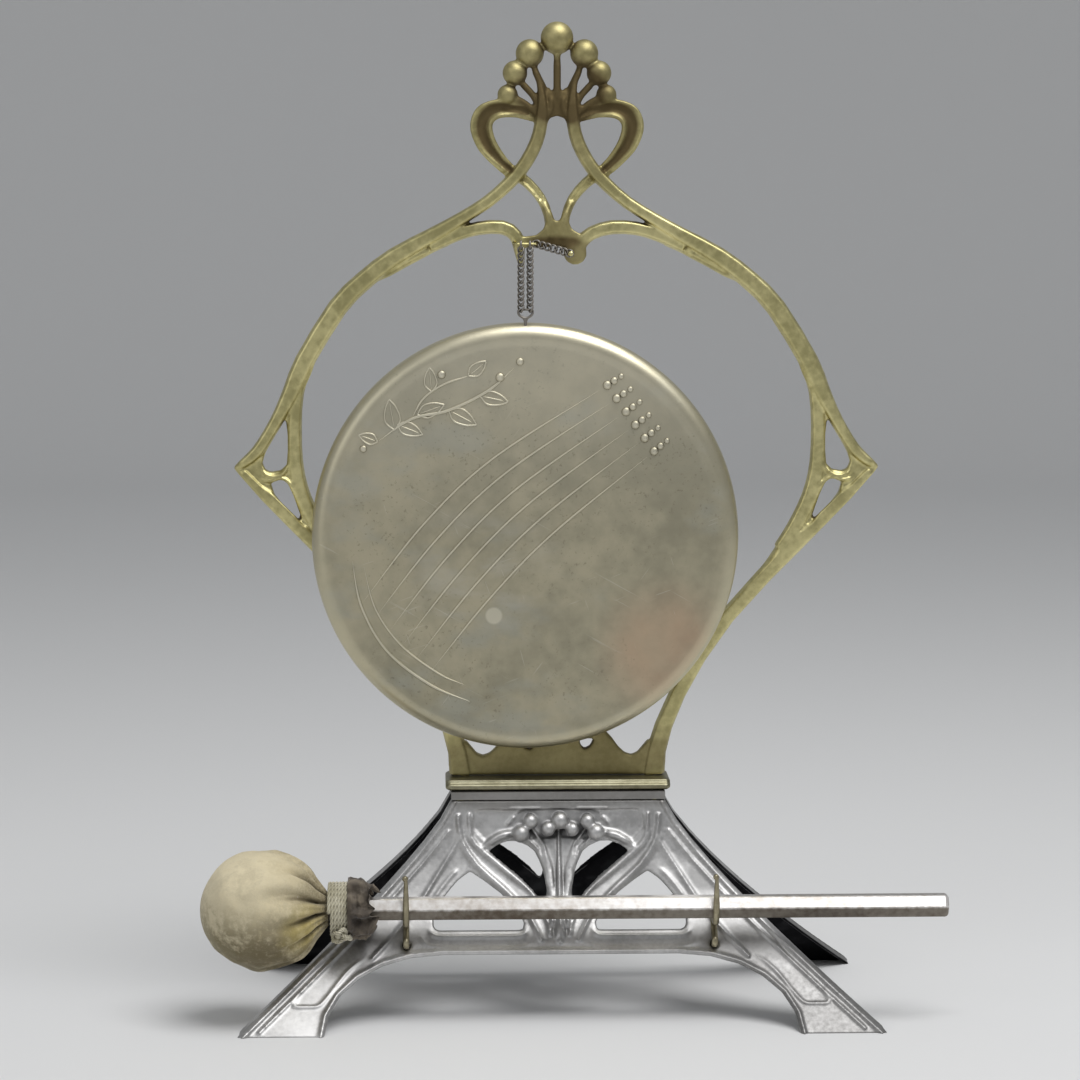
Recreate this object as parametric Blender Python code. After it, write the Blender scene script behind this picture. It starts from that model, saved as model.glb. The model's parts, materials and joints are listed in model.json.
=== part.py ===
"""Table gong: a small brass gong on a chain in a cast whiplash frame, on a pierced metal base.

The mallet lies across the front of the base in two brass hooks. Metres, +Z up, front towards -Y.
The frame and the base panels are drawn in millimetres at the size named beside their outlines.
"""
import math

import bmesh
import bpy
from mathutils import Matrix, Vector

MM = 0.001
GAP = 0.0003
FLAT_ANGLE = math.radians(0.4)

# Base: two leaning pierced panels under one top plate.
BASE_HEIGHT = 0.0768
TOP_PLATE_THICKNESS = 0.0027
TOP_PLATE_DEPTH = 0.0270
PANEL_TOP_HALF_WIDTH = 0.0380
PANEL_FOOT_HALF_WIDTH = 0.1120
PANEL_FOOT_WIDTH = 0.0300
PANEL_ARCH_HEIGHT = 0.0232
ARCH_LEG_REACH = 0.0400
PANEL_THICKNESS = 0.0022
PANEL_TOP_SETBACK = 0.0122
PANEL_FOOT_SETBACK = 0.0600
PANEL_LEAN_POWER = 1.8
PANEL_EDGE_POWER = 1.25
PANEL_RETURN_DEPTH = 0.0085
RELIEF_RISE = 0.0011
ARCH_BEAD_INSET = 0.0014
ARCH_BEAD_WIDTH = 0.0026
RETURN_WALL = 0.0017
FIELD_SINK = 0.0007
BERRY_RISE_SHARE = 0.62
PANEL_BOSS_SIZE = 0.0056
PANEL_BOSS_HEIGHT = 0.0090
PANEL_BOSS_X = 0.0260
PANEL_SCREW_DIAMETER = 0.0024
PANEL_SCREW_HEAD_DIAMETER = 0.0044
PANEL_SCREW_LENGTH = 0.0085

# Moulded bar between the base and the frame.
BAR_LENGTH = 0.0800
BAR_DEPTH = 0.0248
BAR_HEIGHT = 0.0038

# Frame casting.
FRAME_HALF_WIDTH = 0.1145
FRAME_DEPTH = 0.0060
FRAME_CROSSING_SHIFT = 0.0011
WEB_DEPTH = 0.0050
FRAME_SCREW_X = 0.0330
FRAME_SCREW_DIAMETER = 0.0030
FRAME_SCREW_HEAD_DIAMETER = 0.0064
FRAME_SCREW_HEAD_HEIGHT = 0.0024
FRAME_SCREW_BITE = 0.0070

# Gong: a shallow turned pan.
GONG_DIAMETER = 0.1508
GONG_DEPTH = 0.0110
GONG_WALL = 0.0016
GONG_RIM_WIDTH = 0.0048
GONG_RIM_RISE = 0.0008
GONG_FRAME_CLEARANCE = 0.0014
GONG_BAR_CLEARANCE = 0.0113
GONG_HANG_X = -0.0115
GONG_SEGMENTS = 48

# Curb chain, and the wire it hangs from and ends in.
LINK_WIRE = 0.00074
LINK_INNER_LENGTH = 0.0023
LINK_INNER_WIDTH = 0.0020
LINK_PITCH = 0.0020
LINK_TWIST = math.radians(45)
STRAND_LINKS = 12
STRAND_SPACING = 0.0032
BRIDGE_LINKS = 7
BRIDGE_SLOPE = math.radians(16)
HANGER_WIRE = 0.0008
EYE_WIRE = 0.0007
EYE_HALF_WIDTH = 0.0026
EYE_DROP = 0.0031
EYE_RISE = 0.0048

# Mallet in its hooks.
HANDLE_ACROSS_FLATS = 0.0074
HANDLE_LENGTH = 0.2320
HANDLE_HEIGHT = 0.0403
HANDLE_STANDOFF = 0.0140
HEAD_CENTRE_X = -0.1041
HEAD_OVERHANG = 0.0077
HEAD_DIAMETER = 0.0436
COVER_THICKNESS = 0.0016
COVER_GATHERS = 12
NECK_DIAMETER = 0.0158
NECK_REACH = 0.0215
NECK_LENGTH = 0.0098
TIE_DIAMETER = 0.0013
TIE_TURNS = 4
TIE_PITCH = 0.00175
RUFFLE_DIAMETER = 0.0180
RUFFLE_LENGTH = 0.0095
HOOK_X = 0.0540
HOOK_WIRE = 0.0024
HOOK_HOLE_SHARE = 0.225
HOOK_TIP_RISE = 0.0125
HOOK_NUT_DIAMETER = 0.0052
HOOK_NUT_THICKNESS = 0.0020
HOOK_SEAT_DIAMETER = 0.0066
HOOK_SEAT_CUT = 0.0003

# Steps along the panel's edge and arch, and the rows and face height of its bending.
EDGE_STEPS = 10
ARCH_STEPS = 6
BEND_ROWS = 6
TALL_FACE = 0.0130

# Sizes at which the outlines are drawn, in millimetres: the panel's half width at the top, its
# arch and its top, and the frame's half width and the height of the chain's hanger above the bar.
DRAWN_PANEL = (38.0, 23.2, 73.8)
DRAWN_FRAME = (114.5, 191.2)

BRASS = ("brass", (0.30, 0.27, 0.13), 0.38, 1.0)
SILVER = ("silvered_metal", (0.42, 0.41, 0.39), 0.32, 1.0)
GONG_BRASS = ("gong_brass", (0.31, 0.29, 0.21), 0.36, 1.0)
STEEL = ("steel", (0.40, 0.39, 0.37), 0.40, 1.0)
HANDLE_SILVER = ("handle_silver", (0.50, 0.45, 0.41), 0.34, 1.0)
CHAMOIS = ("chamois", (0.34, 0.30, 0.18), 0.90, 0.0)
STRING = ("string", (0.52, 0.50, 0.38), 0.90, 0.0)
RUFFLE_LEATHER = ("ruffle_leather", (0.12, 0.09, 0.06), 0.85, 0.0)
FELT = ("felt", (0.55, 0.52, 0.45), 0.95, 0.0)

# Heights and depths that follow from the sizes above.
PANEL_TOP = BASE_HEIGHT - TOP_PLATE_THICKNESS - GAP
BAR_BOTTOM = BASE_HEIGHT + GAP
BAR_TOP = BAR_BOTTOM + BAR_HEIGHT
GONG_RADIUS = GONG_DIAMETER / 2
GONG_BACK_Y = -(FRAME_DEPTH / 2 + GONG_FRAME_CLEARANCE)
GONG_FRONT_Y = GONG_BACK_Y - GONG_DEPTH
GONG_CENTRE_Z = BAR_TOP + GONG_BAR_CLEARANCE + GONG_RADIUS
EYE_Z = GONG_CENTRE_Z + GONG_RADIUS + EYE_RISE
LINK_HALF_LENGTH = (LINK_INNER_LENGTH + LINK_WIRE) / 2
LINK_HALF_WIDTH = (LINK_INNER_WIDTH + LINK_WIRE) / 2
BOTTOM_LINK_Z = EYE_Z + LINK_INNER_LENGTH / 2 - EYE_WIRE / 2 - GAP
TOP_LINK_Z = BOTTOM_LINK_Z + (STRAND_LINKS - 1) * LINK_PITCH
HANGER_Z = TOP_LINK_Z + LINK_INNER_LENGTH / 2 - HANGER_WIRE / 2 - GAP
FRAME_RISE = (HANGER_Z - BAR_TOP) / (DRAWN_FRAME[1] * MM)
FRAME_SPREAD = FRAME_HALF_WIDTH / (DRAWN_FRAME[0] * MM)
HANDLE_RIGHT_END_X = HEAD_CENTRE_X + HEAD_OVERHANG + HANDLE_LENGTH
NECK_X = HEAD_CENTRE_X + NECK_REACH
ORIGIN_SHIFT_X = -(HEAD_CENTRE_X - HEAD_DIAMETER / 2 + HANDLE_RIGHT_END_X) / 2
HOOK_HOLE_HEIGHT = PANEL_ARCH_HEIGHT + HOOK_HOLE_SHARE * (
    HANDLE_HEIGHT - HANDLE_ACROSS_FLATS / 2 - PANEL_ARCH_HEIGHT)


def clear_scene():
    """Empties the scene, so that the script gives the same model each time."""
    for old in list(bpy.data.objects):
        bpy.data.objects.remove(old, do_unlink=True)


def material(spec):
    """Returns the named Principled material, made once."""
    name, colour, roughness, metallic = spec
    found = bpy.data.materials.get(name)
    if found:
        return found
    made = bpy.data.materials.new(name)
    made.use_nodes = True
    shader = made.node_tree.nodes["Principled BSDF"]
    shader.inputs["Base Color"].default_value = (*colour, 1.0)
    shader.inputs["Roughness"].default_value = roughness
    shader.inputs["Metallic"].default_value = metallic
    made.diffuse_color = (*colour, 1.0)
    return made


def empty(name, location, parent=None):
    """A pivot or root that other objects hang from; its location is in assembly coordinates."""
    made = bpy.data.objects.new(name, None)
    bpy.context.scene.collection.objects.link(made)
    made.parent = parent
    held_at = parent.matrix_world.translation - ROOT.matrix_world.translation if parent else Vector()
    made.location = Vector(location) - held_at
    bpy.context.view_layer.update()
    return made


def to_object(bm, name):
    """Makes an object from a bmesh built in assembly coordinates."""
    bmesh.ops.recalc_face_normals(bm, faces=bm.faces)
    mesh = bpy.data.meshes.new(name)
    bm.to_mesh(mesh)
    bm.free()
    made = bpy.data.objects.new(name, mesh)
    bpy.context.scene.collection.objects.link(made)
    return made


def finish(made, name, spec, parent, smooth=35):
    """Names the piece, gives it its material and hangs it on its parent's pivot."""
    made.name = name
    made.data.name = name
    made.data.materials.clear()
    made.data.materials.append(material(spec))
    made.data.shade_smooth()
    made.data.set_sharp_from_angle(angle=math.radians(smooth))
    pivot = parent.matrix_world.translation - ROOT.matrix_world.translation
    made.data.transform(Matrix.Translation(-pivot))
    made.parent = parent
    return made


def combined(target, others, operation):
    """Applies one exact Boolean of the others to the target and removes them."""
    group = bpy.data.collections.new("operands")
    bpy.context.scene.collection.children.link(group)
    for other in others:
        group.objects.link(other)
    step = target.modifiers.new("step", 'BOOLEAN')
    step.operation = operation
    step.solver = 'EXACT'
    step.operand_type = 'COLLECTION'
    step.collection = group
    seen = target.evaluated_get(bpy.context.evaluated_depsgraph_get())
    mesh = bpy.data.meshes.new_from_object(seen)
    target.modifiers.clear()
    target.data = mesh
    for other in others:
        bpy.data.objects.remove(other, do_unlink=True)
    bpy.data.collections.remove(group)
    return target


def plainer(solid):
    """Joins the flat fragments that a Boolean leaves into whole faces, then into triangles."""
    bm = bmesh.new()
    bm.from_mesh(solid.data)
    bmesh.ops.dissolve_limit(bm, angle_limit=FLAT_ANGLE, verts=bm.verts, edges=bm.edges)
    bmesh.ops.triangulate(bm, faces=bm.faces)
    bm.to_mesh(solid.data)
    bm.free()
    return solid


def finish_all(pieces, name, spec, parent, smooth=35):
    """Finishes like pieces under one name and a number for each."""
    for number, piece in enumerate(pieces, 1):
        finish(piece, f"{name}_{number}", spec, parent, smooth)


def smooth_path(points, steps):
    """Points on a Catmull-Rom curve through the given points, with as many steps in each span."""
    last = len(points) - 1
    path = []
    for i in range(last):
        before = points[max(i - 1, 0)]
        start, end = points[i], points[i + 1]
        after = points[min(i + 2, last)]
        for k in range(steps):
            t = k / steps
            path.append(tuple(
                0.5 * (2 * b + (c - a) * t + (2 * a - 5 * b + 4 * c - d) * t ** 2
                       + (3 * b - a - 3 * c + d) * t ** 3)
                for a, b, c, d in zip(before, start, end, after)))
    path.append(tuple(points[last]))
    return path


def skin(rings, closed=False, name="skin"):
    """A solid through rings of equal length; open runs get flat ends."""
    bm = bmesh.new()
    made = [[bm.verts.new(co) for co in ring] for ring in rings]
    pairs = list(zip(made, made[1:]))
    if closed:
        pairs.append((made[-1], made[0]))
    for ring, following in pairs:
        for k in range(len(ring)):
            n = (k + 1) % len(ring)
            bm.faces.new((ring[k], ring[n], following[n], following[k]))
    if not closed:
        bm.faces.new(made[0][::-1])
        bm.faces.new(made[-1])
    return to_object(bm, name)


def tube(path, radius, sides=8, closed=False):
    """Round wire along a path; radius is one value or one for each point."""
    centres = [Vector(p) for p in path]
    count = len(centres)
    radii = radius if isinstance(radius, list) else [radius] * count
    tangents = []
    for i in range(count):
        ahead = centres[(i + 1) % count] if closed else centres[min(i + 1, count - 1)]
        behind = centres[i - 1] if closed or i else centres[0]
        tangents.append((ahead - behind).normalized())
    across = tangents[0].orthogonal().normalized()
    rings = []
    for centre, tangent, r in zip(centres, tangents, radii):
        across = (across - tangent * across.dot(tangent)).normalized()
        other = tangent.cross(across)
        rings.append([
            centre + (across * math.cos(a) + other * math.sin(a)) * r
            for a in (2 * math.pi * k / sides for k in range(sides))])
    return skin(rings, closed)


def turned(profile, segments, axis, centre, ripple=None, closed=True):
    """Turns (radius, height) points about an axis; ripple changes a radius by angle and index."""
    turn = Vector((0, 0, 1)).rotation_difference(Vector(axis)).to_matrix()
    bm = bmesh.new()
    rings = []
    for index, (radius, height) in enumerate(profile):
        if radius == 0:
            rings.append([bm.verts.new(turn @ Vector((0, 0, height)) + Vector(centre))])
            continue
        ring = []
        for k in range(segments):
            angle = 2 * math.pi * k / segments
            r = radius + (ripple(index, angle) if ripple else 0)
            local = Vector((r * math.cos(angle), r * math.sin(angle), height))
            ring.append(bm.verts.new(turn @ local + Vector(centre)))
        rings.append(ring)
    pairs = list(zip(rings, rings[1:]))
    if closed:
        pairs.append((rings[-1], rings[0]))
    for ring, following in pairs:
        for k in range(segments):
            n = (k + 1) % segments
            corners = [ring[k % len(ring)], ring[n % len(ring)],
                       following[n % len(following)], following[k % len(following)]]
            corners = list(dict.fromkeys(corners))
            if len(corners) > 2:
                bm.faces.new(corners)
    return to_object(bm, "turned")


def cylinder(diameter, start, end, sides=12):
    """Plain round rod from one point to another."""
    return tube([start, end], diameter / 2, sides)


def ball(centre, radius, segments=10, rings=7):
    """Round bead."""
    bm = bmesh.new()
    bmesh.ops.create_uvsphere(bm, u_segments=segments, v_segments=rings, radius=radius)
    bmesh.ops.translate(bm, verts=bm.verts, vec=centre)
    return to_object(bm, "ball")


def box(low, high):
    """Block between two corners."""
    bm = bmesh.new()
    bmesh.ops.create_cube(bm, size=1)
    low, high = Vector(low), Vector(high)
    for vert in bm.verts:
        vert.co = (low + high) / 2 + Vector(a * b for a, b in zip(vert.co, high - low))
    return to_object(bm, "box")


def plate(outline, holes, back, front):
    """Flat plate in the XZ plane between two y values, with holes; loops are (x, z) points."""
    curve = bpy.data.curves.new("plate", 'CURVE')
    curve.dimensions = '2D'
    curve.fill_mode = 'BOTH'
    curve.extrude = abs(back - front) / 2
    for loop in [outline] + holes:
        spline = curve.splines.new('POLY')
        spline.points.add(len(loop) - 1)
        for point, (x, z) in zip(spline.points, loop):
            point.co = (x, z, 0, 1)
        spline.use_cyclic_u = True
    source = bpy.data.objects.new("plate", curve)
    bpy.context.scene.collection.objects.link(source)
    seen = source.evaluated_get(bpy.context.evaluated_depsgraph_get())
    bm = bmesh.new()
    bm.from_mesh(bpy.data.meshes.new_from_object(seen))
    bpy.data.objects.remove(source, do_unlink=True)
    bmesh.ops.remove_doubles(bm, verts=bm.verts, dist=0.00001)
    middle = (back + front) / 2
    for vert in bm.verts:
        vert.co = (vert.co.x, middle + vert.co.z, vert.co.y)
    return to_object(bm, "plate")


def mirrored(points, side):
    """Points with x on the given side, +1 or -1."""
    return [(p[0] * side, *p[1:]) for p in points]


# The gong's section, and the depth at which it balances and so is hung

def gong_profile():
    """The pan's outline as (radius, depth behind the rim's crest), outside then inside."""
    rim = GONG_RIM_WIDTH
    face = GONG_RIM_RISE
    wall = GONG_WALL
    r = GONG_RADIUS
    outer = [(0, face), (r - rim * 1.55, face), (r - rim * 1.25, face * 0.7), (r - rim * 0.95, 0),
             (r - rim * 0.55, 0), (r - rim * 0.25, rim * 0.14), (r - rim * 0.06, rim * 0.42),
             (r, rim * 0.8), (r, GONG_DEPTH)]
    inner = [(r - wall, GONG_DEPTH), (r - wall, rim * 0.9), (r - wall - rim * 0.35, wall + rim * 0.1),
             (r - rim * 1.0 - wall * 0.4, wall + rim * 0.02), (r - rim * 1.55, face + wall),
             (0, face + wall)]
    return outer + inner


def balance_depth(profile):
    """Depth of the centre of mass of a body turned from (radius, depth) points."""
    volume = moment = 0.0
    for (r, d), (s, e) in zip(profile, profile[1:]):
        squares = (r * r + r * s + s * s) / 3
        volume += (e - d) * squares
        moment += (e - d) * (d * squares + (e - d) * (r * r / 12 + r * s / 6 + s * s / 4))
    return moment / volume


HANG_Y = GONG_FRONT_Y + balance_depth(gong_profile())


# Frame casting

def on_frame(points):
    """Drawn frame points (x, height above the bar, extra sizes) in millimetres, at real size."""
    return [(x * MM * FRAME_SPREAD, BAR_TOP + GAP + h * MM * FRAME_RISE, *[e * MM for e in extra])
            for x, h, *extra in points]


# Sections, front edge first, in shares of a strand's width and depth: a limb's flat face with
# soft edges, a loop's face with a channel, and a stem's.
LIMB_SECTION = [(-0.5, 0.0), (-0.36, -0.5), (0.36, -0.5), (0.5, 0.0), (0.38, 0.5), (-0.38, 0.5)]
CHANNEL_SECTION = [(-0.5, -0.05), (-0.34, -0.5), (0.0, -0.24), (0.34, -0.5), (0.5, -0.05),
                   (0.38, 0.5), (-0.38, 0.5)]
STEM_SECTION = [(-0.5, -0.1), (-0.2, -0.5), (0.2, -0.5), (0.5, -0.1), (0.0, 0.5)]
# No strand is deeper than so many of its own widths, so it thins all round towards a narrow end.
DEEPEST = 1.75


def limb(points, steps, depth, forward, section):
    """A cast strand through drawn points (x, height, width), lying in the frame's plane."""
    path = smooth_path(on_frame(points), steps)
    rings = []
    for i, (x, z, width) in enumerate(path):
        ahead, behind = path[min(i + 1, len(path) - 1)], path[max(i - 1, 0)]
        along = Vector((ahead[0] - behind[0], 0, ahead[1] - behind[1])).normalized()
        across = Vector((-along.z, 0, along.x))
        rings.append([
            Vector((x, min(depth, DEEPEST * width) * v - forward, z)) + across * (width * u)
            for u, v in section])
    return skin(rings)


# Each outline below is the right half, as (x, height above the bar, width).
MAIN_LIMB = [(6.9, 249.6, 1.5), (5.5, 243.6, 2.8), (5.4, 236.6, 4.5), (6.4, 229.6, 4.9),
             (8.8, 223.4, 5.0), (12.6, 217.2, 5.0), (17.4, 211.8, 4.9), (24.8, 205.4, 4.7),
             (34.0, 199.6, 4.8), (44.0, 193.8, 5.6), (57.3, 186.2, 6.8), (68.4, 177.6, 7.1),
             (77.7, 168.0, 7.3), (89.4, 149.0, 7.2), (93.8, 139.0, 6.4), (97.7, 131.0, 5.2),
             (101.6, 124.0, 4.7), (106.2, 117.0, 4.6), (111.4, 112.6, 3.4), (114.2, 111.1, 1.2)]
LOWER_LIMB = [(114.2, 111.4, 1.4), (111.2, 109.2, 3.4), (103.5, 101.0, 4.4), (94.2, 91.6, 4.8),
              (86.0, 84.0, 6.0), (73.6, 71.4, 6.0), (60.8, 57.0, 5.8), (50.6, 42.6, 6.0),
              (43.2, 29.4, 6.2), (38.2, 17.6, 6.6), (35.6, 8.6, 7.2), (34.4, -0.6, 8.6)]
INNER_LIMB = [(88.6, 149.0, 4.4), (92.0, 138.0, 5.0), (92.9, 126.0, 5.0), (92.7, 113.0, 5.4),
              (91.2, 104.0, 5.8), (88.4, 96.4, 5.8), (84.0, 88.2, 5.4), (79.4, 81.6, 4.6)]
LOOP = [(7.0, 235.6, 4.0), (11.0, 237.6, 4.4), (15.6, 238.4, 4.4), (20.6, 238.8, 5.4),
        (24.9, 236.8, 7.0), (26.7, 232.2, 7.2), (24.9, 226.2, 6.2), (20.8, 220.8, 4.9),
        (16.4, 216.8, 4.1), (10.4, 212.4, 4.0), (5.6, 206.8, 3.6), (3.1, 200.6, 3.2),
        (2.4, 193.4, 3.0)]
SIDE_STEM = [(9.6, 258.0, 2.8), (7.4, 251.4, 2.4), (5.0, 246.8, 2.4), (2.4, 238.0, 3.0)]
THIRD_STEM = [(14.8, 251.1, 2.8), (11.6, 246.4, 2.4), (8.2, 243.0, 2.6), (5.6, 238.6, 3.0)]
OUTER_STEM = [(17.4, 243.4, 2.6), (13.0, 241.2, 2.4), (8.4, 237.8, 3.0)]
CENTRE_STEM = [(0.0, 263.4, 3.2), (0.0, 252.0, 2.6), (0.0, 238.0, 3.0)]
ARCH = [(45.0, 189.6, 4.6), (36.0, 193.8, 4.8), (28.0, 196.2, 5.0), (19.4, 196.6, 5.2)]
LEFT_CURL = [(14.6, 193.6, 5.0), (13.3, 188.0, 3.8), (12.5, 182.4, 2.0)]
RIGHT_CURL = [(12.4, 194.6, 5.0), (8.8, 191.4, 4.8), (7.0, 187.6, 4.4)]
BOSS = (6.4, 187.4, 4.1)
CROWN_BALLS = [(0.0, 263.4, 5.8), (9.6, 258.0, 5.0), (14.8, 251.1, 4.4), (17.4, 243.4, 3.65)]
HUB = [(9.0, 238.8), (5.6, 242.6), (2.4, 244.6), (0.0, 244.9)]
HUB_ARCH = [(0.0, 236.0), (2.4, 235.2), (4.6, 233.0), (7.6, 234.4)]
GUSSET = [(3.4, 200.4), (0.0, 198.8), (-3.4, 200.4), (-4.8, 196.0), (-7.4, 193.8), (-12.6, 193.2),
          (-12.6, 189.4), (-6.4, 189.4), (0.0, 190.0), (5.6, 188.8), (8.2, 190.8), (9.2, 193.6),
          (5.2, 196.0)]
WEB = [(36.6, -0.3), (36.0, 9.0), (32.6, 12.4), (30.6, 10.0), (28.8, 7.8), (26.6, 6.9), (24.2, 7.7),
       (22.0, 9.8), (19.6, 13.2), (16.6, 16.4), (12.0, 19.2), (6.0, 21.6), (0.0, 22.4)]
WEB_HOLE = [(8.0, 13.0), (13.2, 13.0), (11.8, 10.2), (9.8, 9.2), (8.4, 10.6)]
TIP = [(95.4, 135.0), (97.7, 131.0), (101.6, 124.0), (106.2, 117.0), (112.0, 111.3), (103.5, 101.0),
       (94.2, 91.6), (88.0, 87.0), (88.4, 96.4), (91.2, 104.0), (92.7, 113.0), (92.9, 126.0),
       (92.6, 134.0)]
TIP_HOLES = [[(96.2, 129.4), (98.8, 125.0), (101.2, 120.4), (103.4, 116.4), (104.5, 112.8),
              (103.4, 110.4), (101.4, 109.6), (98.0, 110.2), (95.9, 112.2), (95.5, 117.0),
              (95.5, 123.0)],
             [(101.5, 105.3), (99.8, 106.8), (97.2, 106.8), (95.5, 105.4), (93.6, 101.2),
              (91.8, 96.0), (89.9, 90.2), (93.4, 93.0), (97.3, 97.6), (100.4, 101.8)]]

# Each strand's outline, steps in a span, depth as a share of the frame's, shift forward as a share
# of FRAME_CROSSING_SHIFT, and section. The last one is the middle stem, which has no twin.
STRANDS = [(MAIN_LIMB, 2, 1.0, 1.0, LIMB_SECTION), (LOWER_LIMB, 1, 0.96, 0.5, LIMB_SECTION),
           (INNER_LIMB, 2, 0.98, 0.2, LIMB_SECTION), (LOOP, 2, 0.85, -1.0, CHANNEL_SECTION),
           (SIDE_STEM, 1, 0.5, 0.3, STEM_SECTION), (THIRD_STEM, 1, 0.48, 0.1, STEM_SECTION),
           (OUTER_STEM, 1, 0.46, -0.3, STEM_SECTION), (CENTRE_STEM, 1, 0.55, 0.4, STEM_SECTION)]
ARCH_STRAND = (2, 0.93, 0.3, LIMB_SECTION)
# Plates between the strands, as shares of the frame's depth in front of its middle: back, front.
HUB_PLATE, GUSSET_PLATE, TIP_PLATE = (-0.22, 0.36), (-0.20, 0.42), (-0.30, 0.40)


def drawn_loop(points, side=1):
    """A drawn outline as (x, z) points at real size."""
    return [(x, z) for x, z in on_frame(mirrored(points, side))]


def strand(outline, steps, depth, shift, section):
    """One limb or stem from its drawn outline and its row of shares."""
    return limb(outline, steps, FRAME_DEPTH * depth, FRAME_CROSSING_SHIFT * shift, section)


def fill(outline, holes, span):
    """A plate between strands, from one share of the frame's depth to another."""
    back, front = span
    return plate(outline, holes, -FRAME_DEPTH * back, -FRAME_DEPTH * front)


def frame_casting():
    """The whole frame: hoop, crossed loops, curls, pierced sides, crown and foot web."""
    pieces = [strand(*STRANDS[-1])]
    for side in (1, -1):
        curl = RIGHT_CURL if side > 0 else LEFT_CURL
        pieces += [strand(mirrored(outline, side), *rest) for outline, *rest in STRANDS[:-1]]
        pieces.append(strand(mirrored(ARCH + curl, side), *ARCH_STRAND))
        pieces.append(fill(drawn_loop(TIP, side), [drawn_loop(hole, side) for hole in TIP_HOLES],
                           TIP_PLATE))
        for x, z, radius in on_frame(mirrored(CROWN_BALLS[1:], side)):
            pieces.append(ball((x, -FRAME_DEPTH / 60, z), radius))
    x, z, radius = on_frame(CROWN_BALLS)[0]
    pieces.append(ball((x, 0, z), radius))
    x, z, radius = on_frame([BOSS])[0]
    pieces.append(tube([(x, -FRAME_DEPTH * share, z) for share in (0.54, 0.46, 0.3, -0.4)],
                       [radius * 0.5, radius * 0.86, radius, radius], 12))
    hub = drawn_loop(HUB) + drawn_loop(HUB[-2::-1], -1)
    hub += drawn_loop(HUB_ARCH[::-1], -1) + drawn_loop(HUB_ARCH[1:])
    pieces.append(fill(hub, [], HUB_PLATE))
    pieces.append(fill(drawn_loop(GUSSET), [], GUSSET_PLATE))
    web = drawn_loop(WEB) + drawn_loop(WEB[-2::-1], -1)
    holes = [drawn_loop(WEB_HOLE, side) for side in (1, -1)]
    foot = plate(web, holes, WEB_DEPTH / 2, -WEB_DEPTH / 2)
    casting = plainer(combined(foot, pieces, 'UNION'))
    x = FRAME_SCREW_X
    cutters = [
        cylinder(FRAME_SCREW_DIAMETER + 2 * GAP, (x * side, 0, BAR_BOTTOM),
                 (x * side, 0, BAR_TOP + GAP + FRAME_SCREW_BITE), 10) for side in (1, -1)]
    cutters.append(box((-1, -0.1, 0.0), (1, 0.1, BAR_TOP + GAP)))
    for leg_x, leg_z in HANGER_LEGS + [BOSS_PEG]:
        cutters.append(cylinder(HANGER_WIRE + 2 * GAP, (leg_x, -FRAME_DEPTH, leg_z),
                                (leg_x, LEG_END_Y + GAP * 2, leg_z), 8))
    return combined(casting, cutters, 'DIFFERENCE')


# Wire hanger, peg and chain

HANGER_HALF_SPAN = STRAND_SPACING / 2 + LINK_HALF_WIDTH + LINK_WIRE
HANGER_LEGS = [(GONG_HANG_X - HANGER_HALF_SPAN, HANGER_Z), (GONG_HANG_X + HANGER_HALF_SPAN, HANGER_Z)]
PEG_INSET = LINK_INNER_LENGTH / 2 - HANGER_WIRE / 2 - GAP
BRIDGE_SPAN = (BRIDGE_LINKS - 1) * LINK_PITCH + 2 * PEG_INSET
BOSS_PEG = (HANGER_LEGS[1][0] + BRIDGE_SPAN * math.cos(BRIDGE_SLOPE),
            HANGER_Z - BRIDGE_SPAN * math.sin(BRIDGE_SLOPE))
BRIDGE_Y = -(FRAME_DEPTH / 2 + LINK_HALF_WIDTH + LINK_WIRE)
LEG_END_Y = -FRAME_DEPTH * 0.1


def chain_hanger():
    """Wire staple in the left curl and the gusset, whose cross run the chain hangs from."""
    (left, z), (right, _) = HANGER_LEGS
    bend = HANGER_WIRE * 1.2
    left_half = [(left, LEG_END_Y, z), (left, HANG_Y + bend, z),
                 (left + bend * 0.4, HANG_Y + bend * 0.3, z), (left + bend, HANG_Y, z)]
    run = left_half + [(left + right - x, y, z) for x, y, z in reversed(left_half)]
    return tube(run, HANGER_WIRE / 2, 6)


def chain_peg():
    """Headed peg in the frame's round boss, holding the far end of the short stretch of chain."""
    x, z = BOSS_PEG
    front = BRIDGE_Y - LINK_HALF_WIDTH - LINK_WIRE
    wire = HANGER_WIRE / 2
    run = [(x, LEG_END_Y, z), (x, front, z), (x, front - 0.0001, z), (x, front - 0.0007, z),
           (x, front - 0.0010, z)]
    return tube(run, [wire, wire, wire * 2.2, wire * 2.2, wire * 1.2], 8)


def link(centre, axis, face, low=-LINK_TWIST, high=LINK_TWIST):
    """One curb link: an oval of wire along the axis, its two ends turned by two angles."""
    axis, face = Vector(axis).normalized(), Vector(face)
    wide = axis.cross(face).normalized()
    deep = axis.cross(wide)
    path = []
    stations = 8
    for k in range(stations):
        angle = 2 * math.pi * k / stations
        along = LINK_HALF_LENGTH * math.cos(angle)
        twist = low + (high - low) * (along / LINK_HALF_LENGTH + 1) / 2
        side = wide * math.cos(twist) + deep * math.sin(twist)
        path.append(Vector(centre) + axis * along + side * LINK_HALF_WIDTH * math.sin(angle))
    return tube(path, LINK_WIRE / 2, 4, closed=True)


def chain_bridge():
    """The short stretch of chain between the hanger's right leg and the peg."""
    x, z = HANGER_LEGS[1]
    step = Vector((math.cos(BRIDGE_SLOPE), 0, -math.sin(BRIDGE_SLOPE)))
    start = Vector((x, BRIDGE_Y, z)) + step * PEG_INSET
    return [link(start + step * LINK_PITCH * k, step, (0, 1, 0)) for k in range(BRIDGE_LINKS)]


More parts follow.
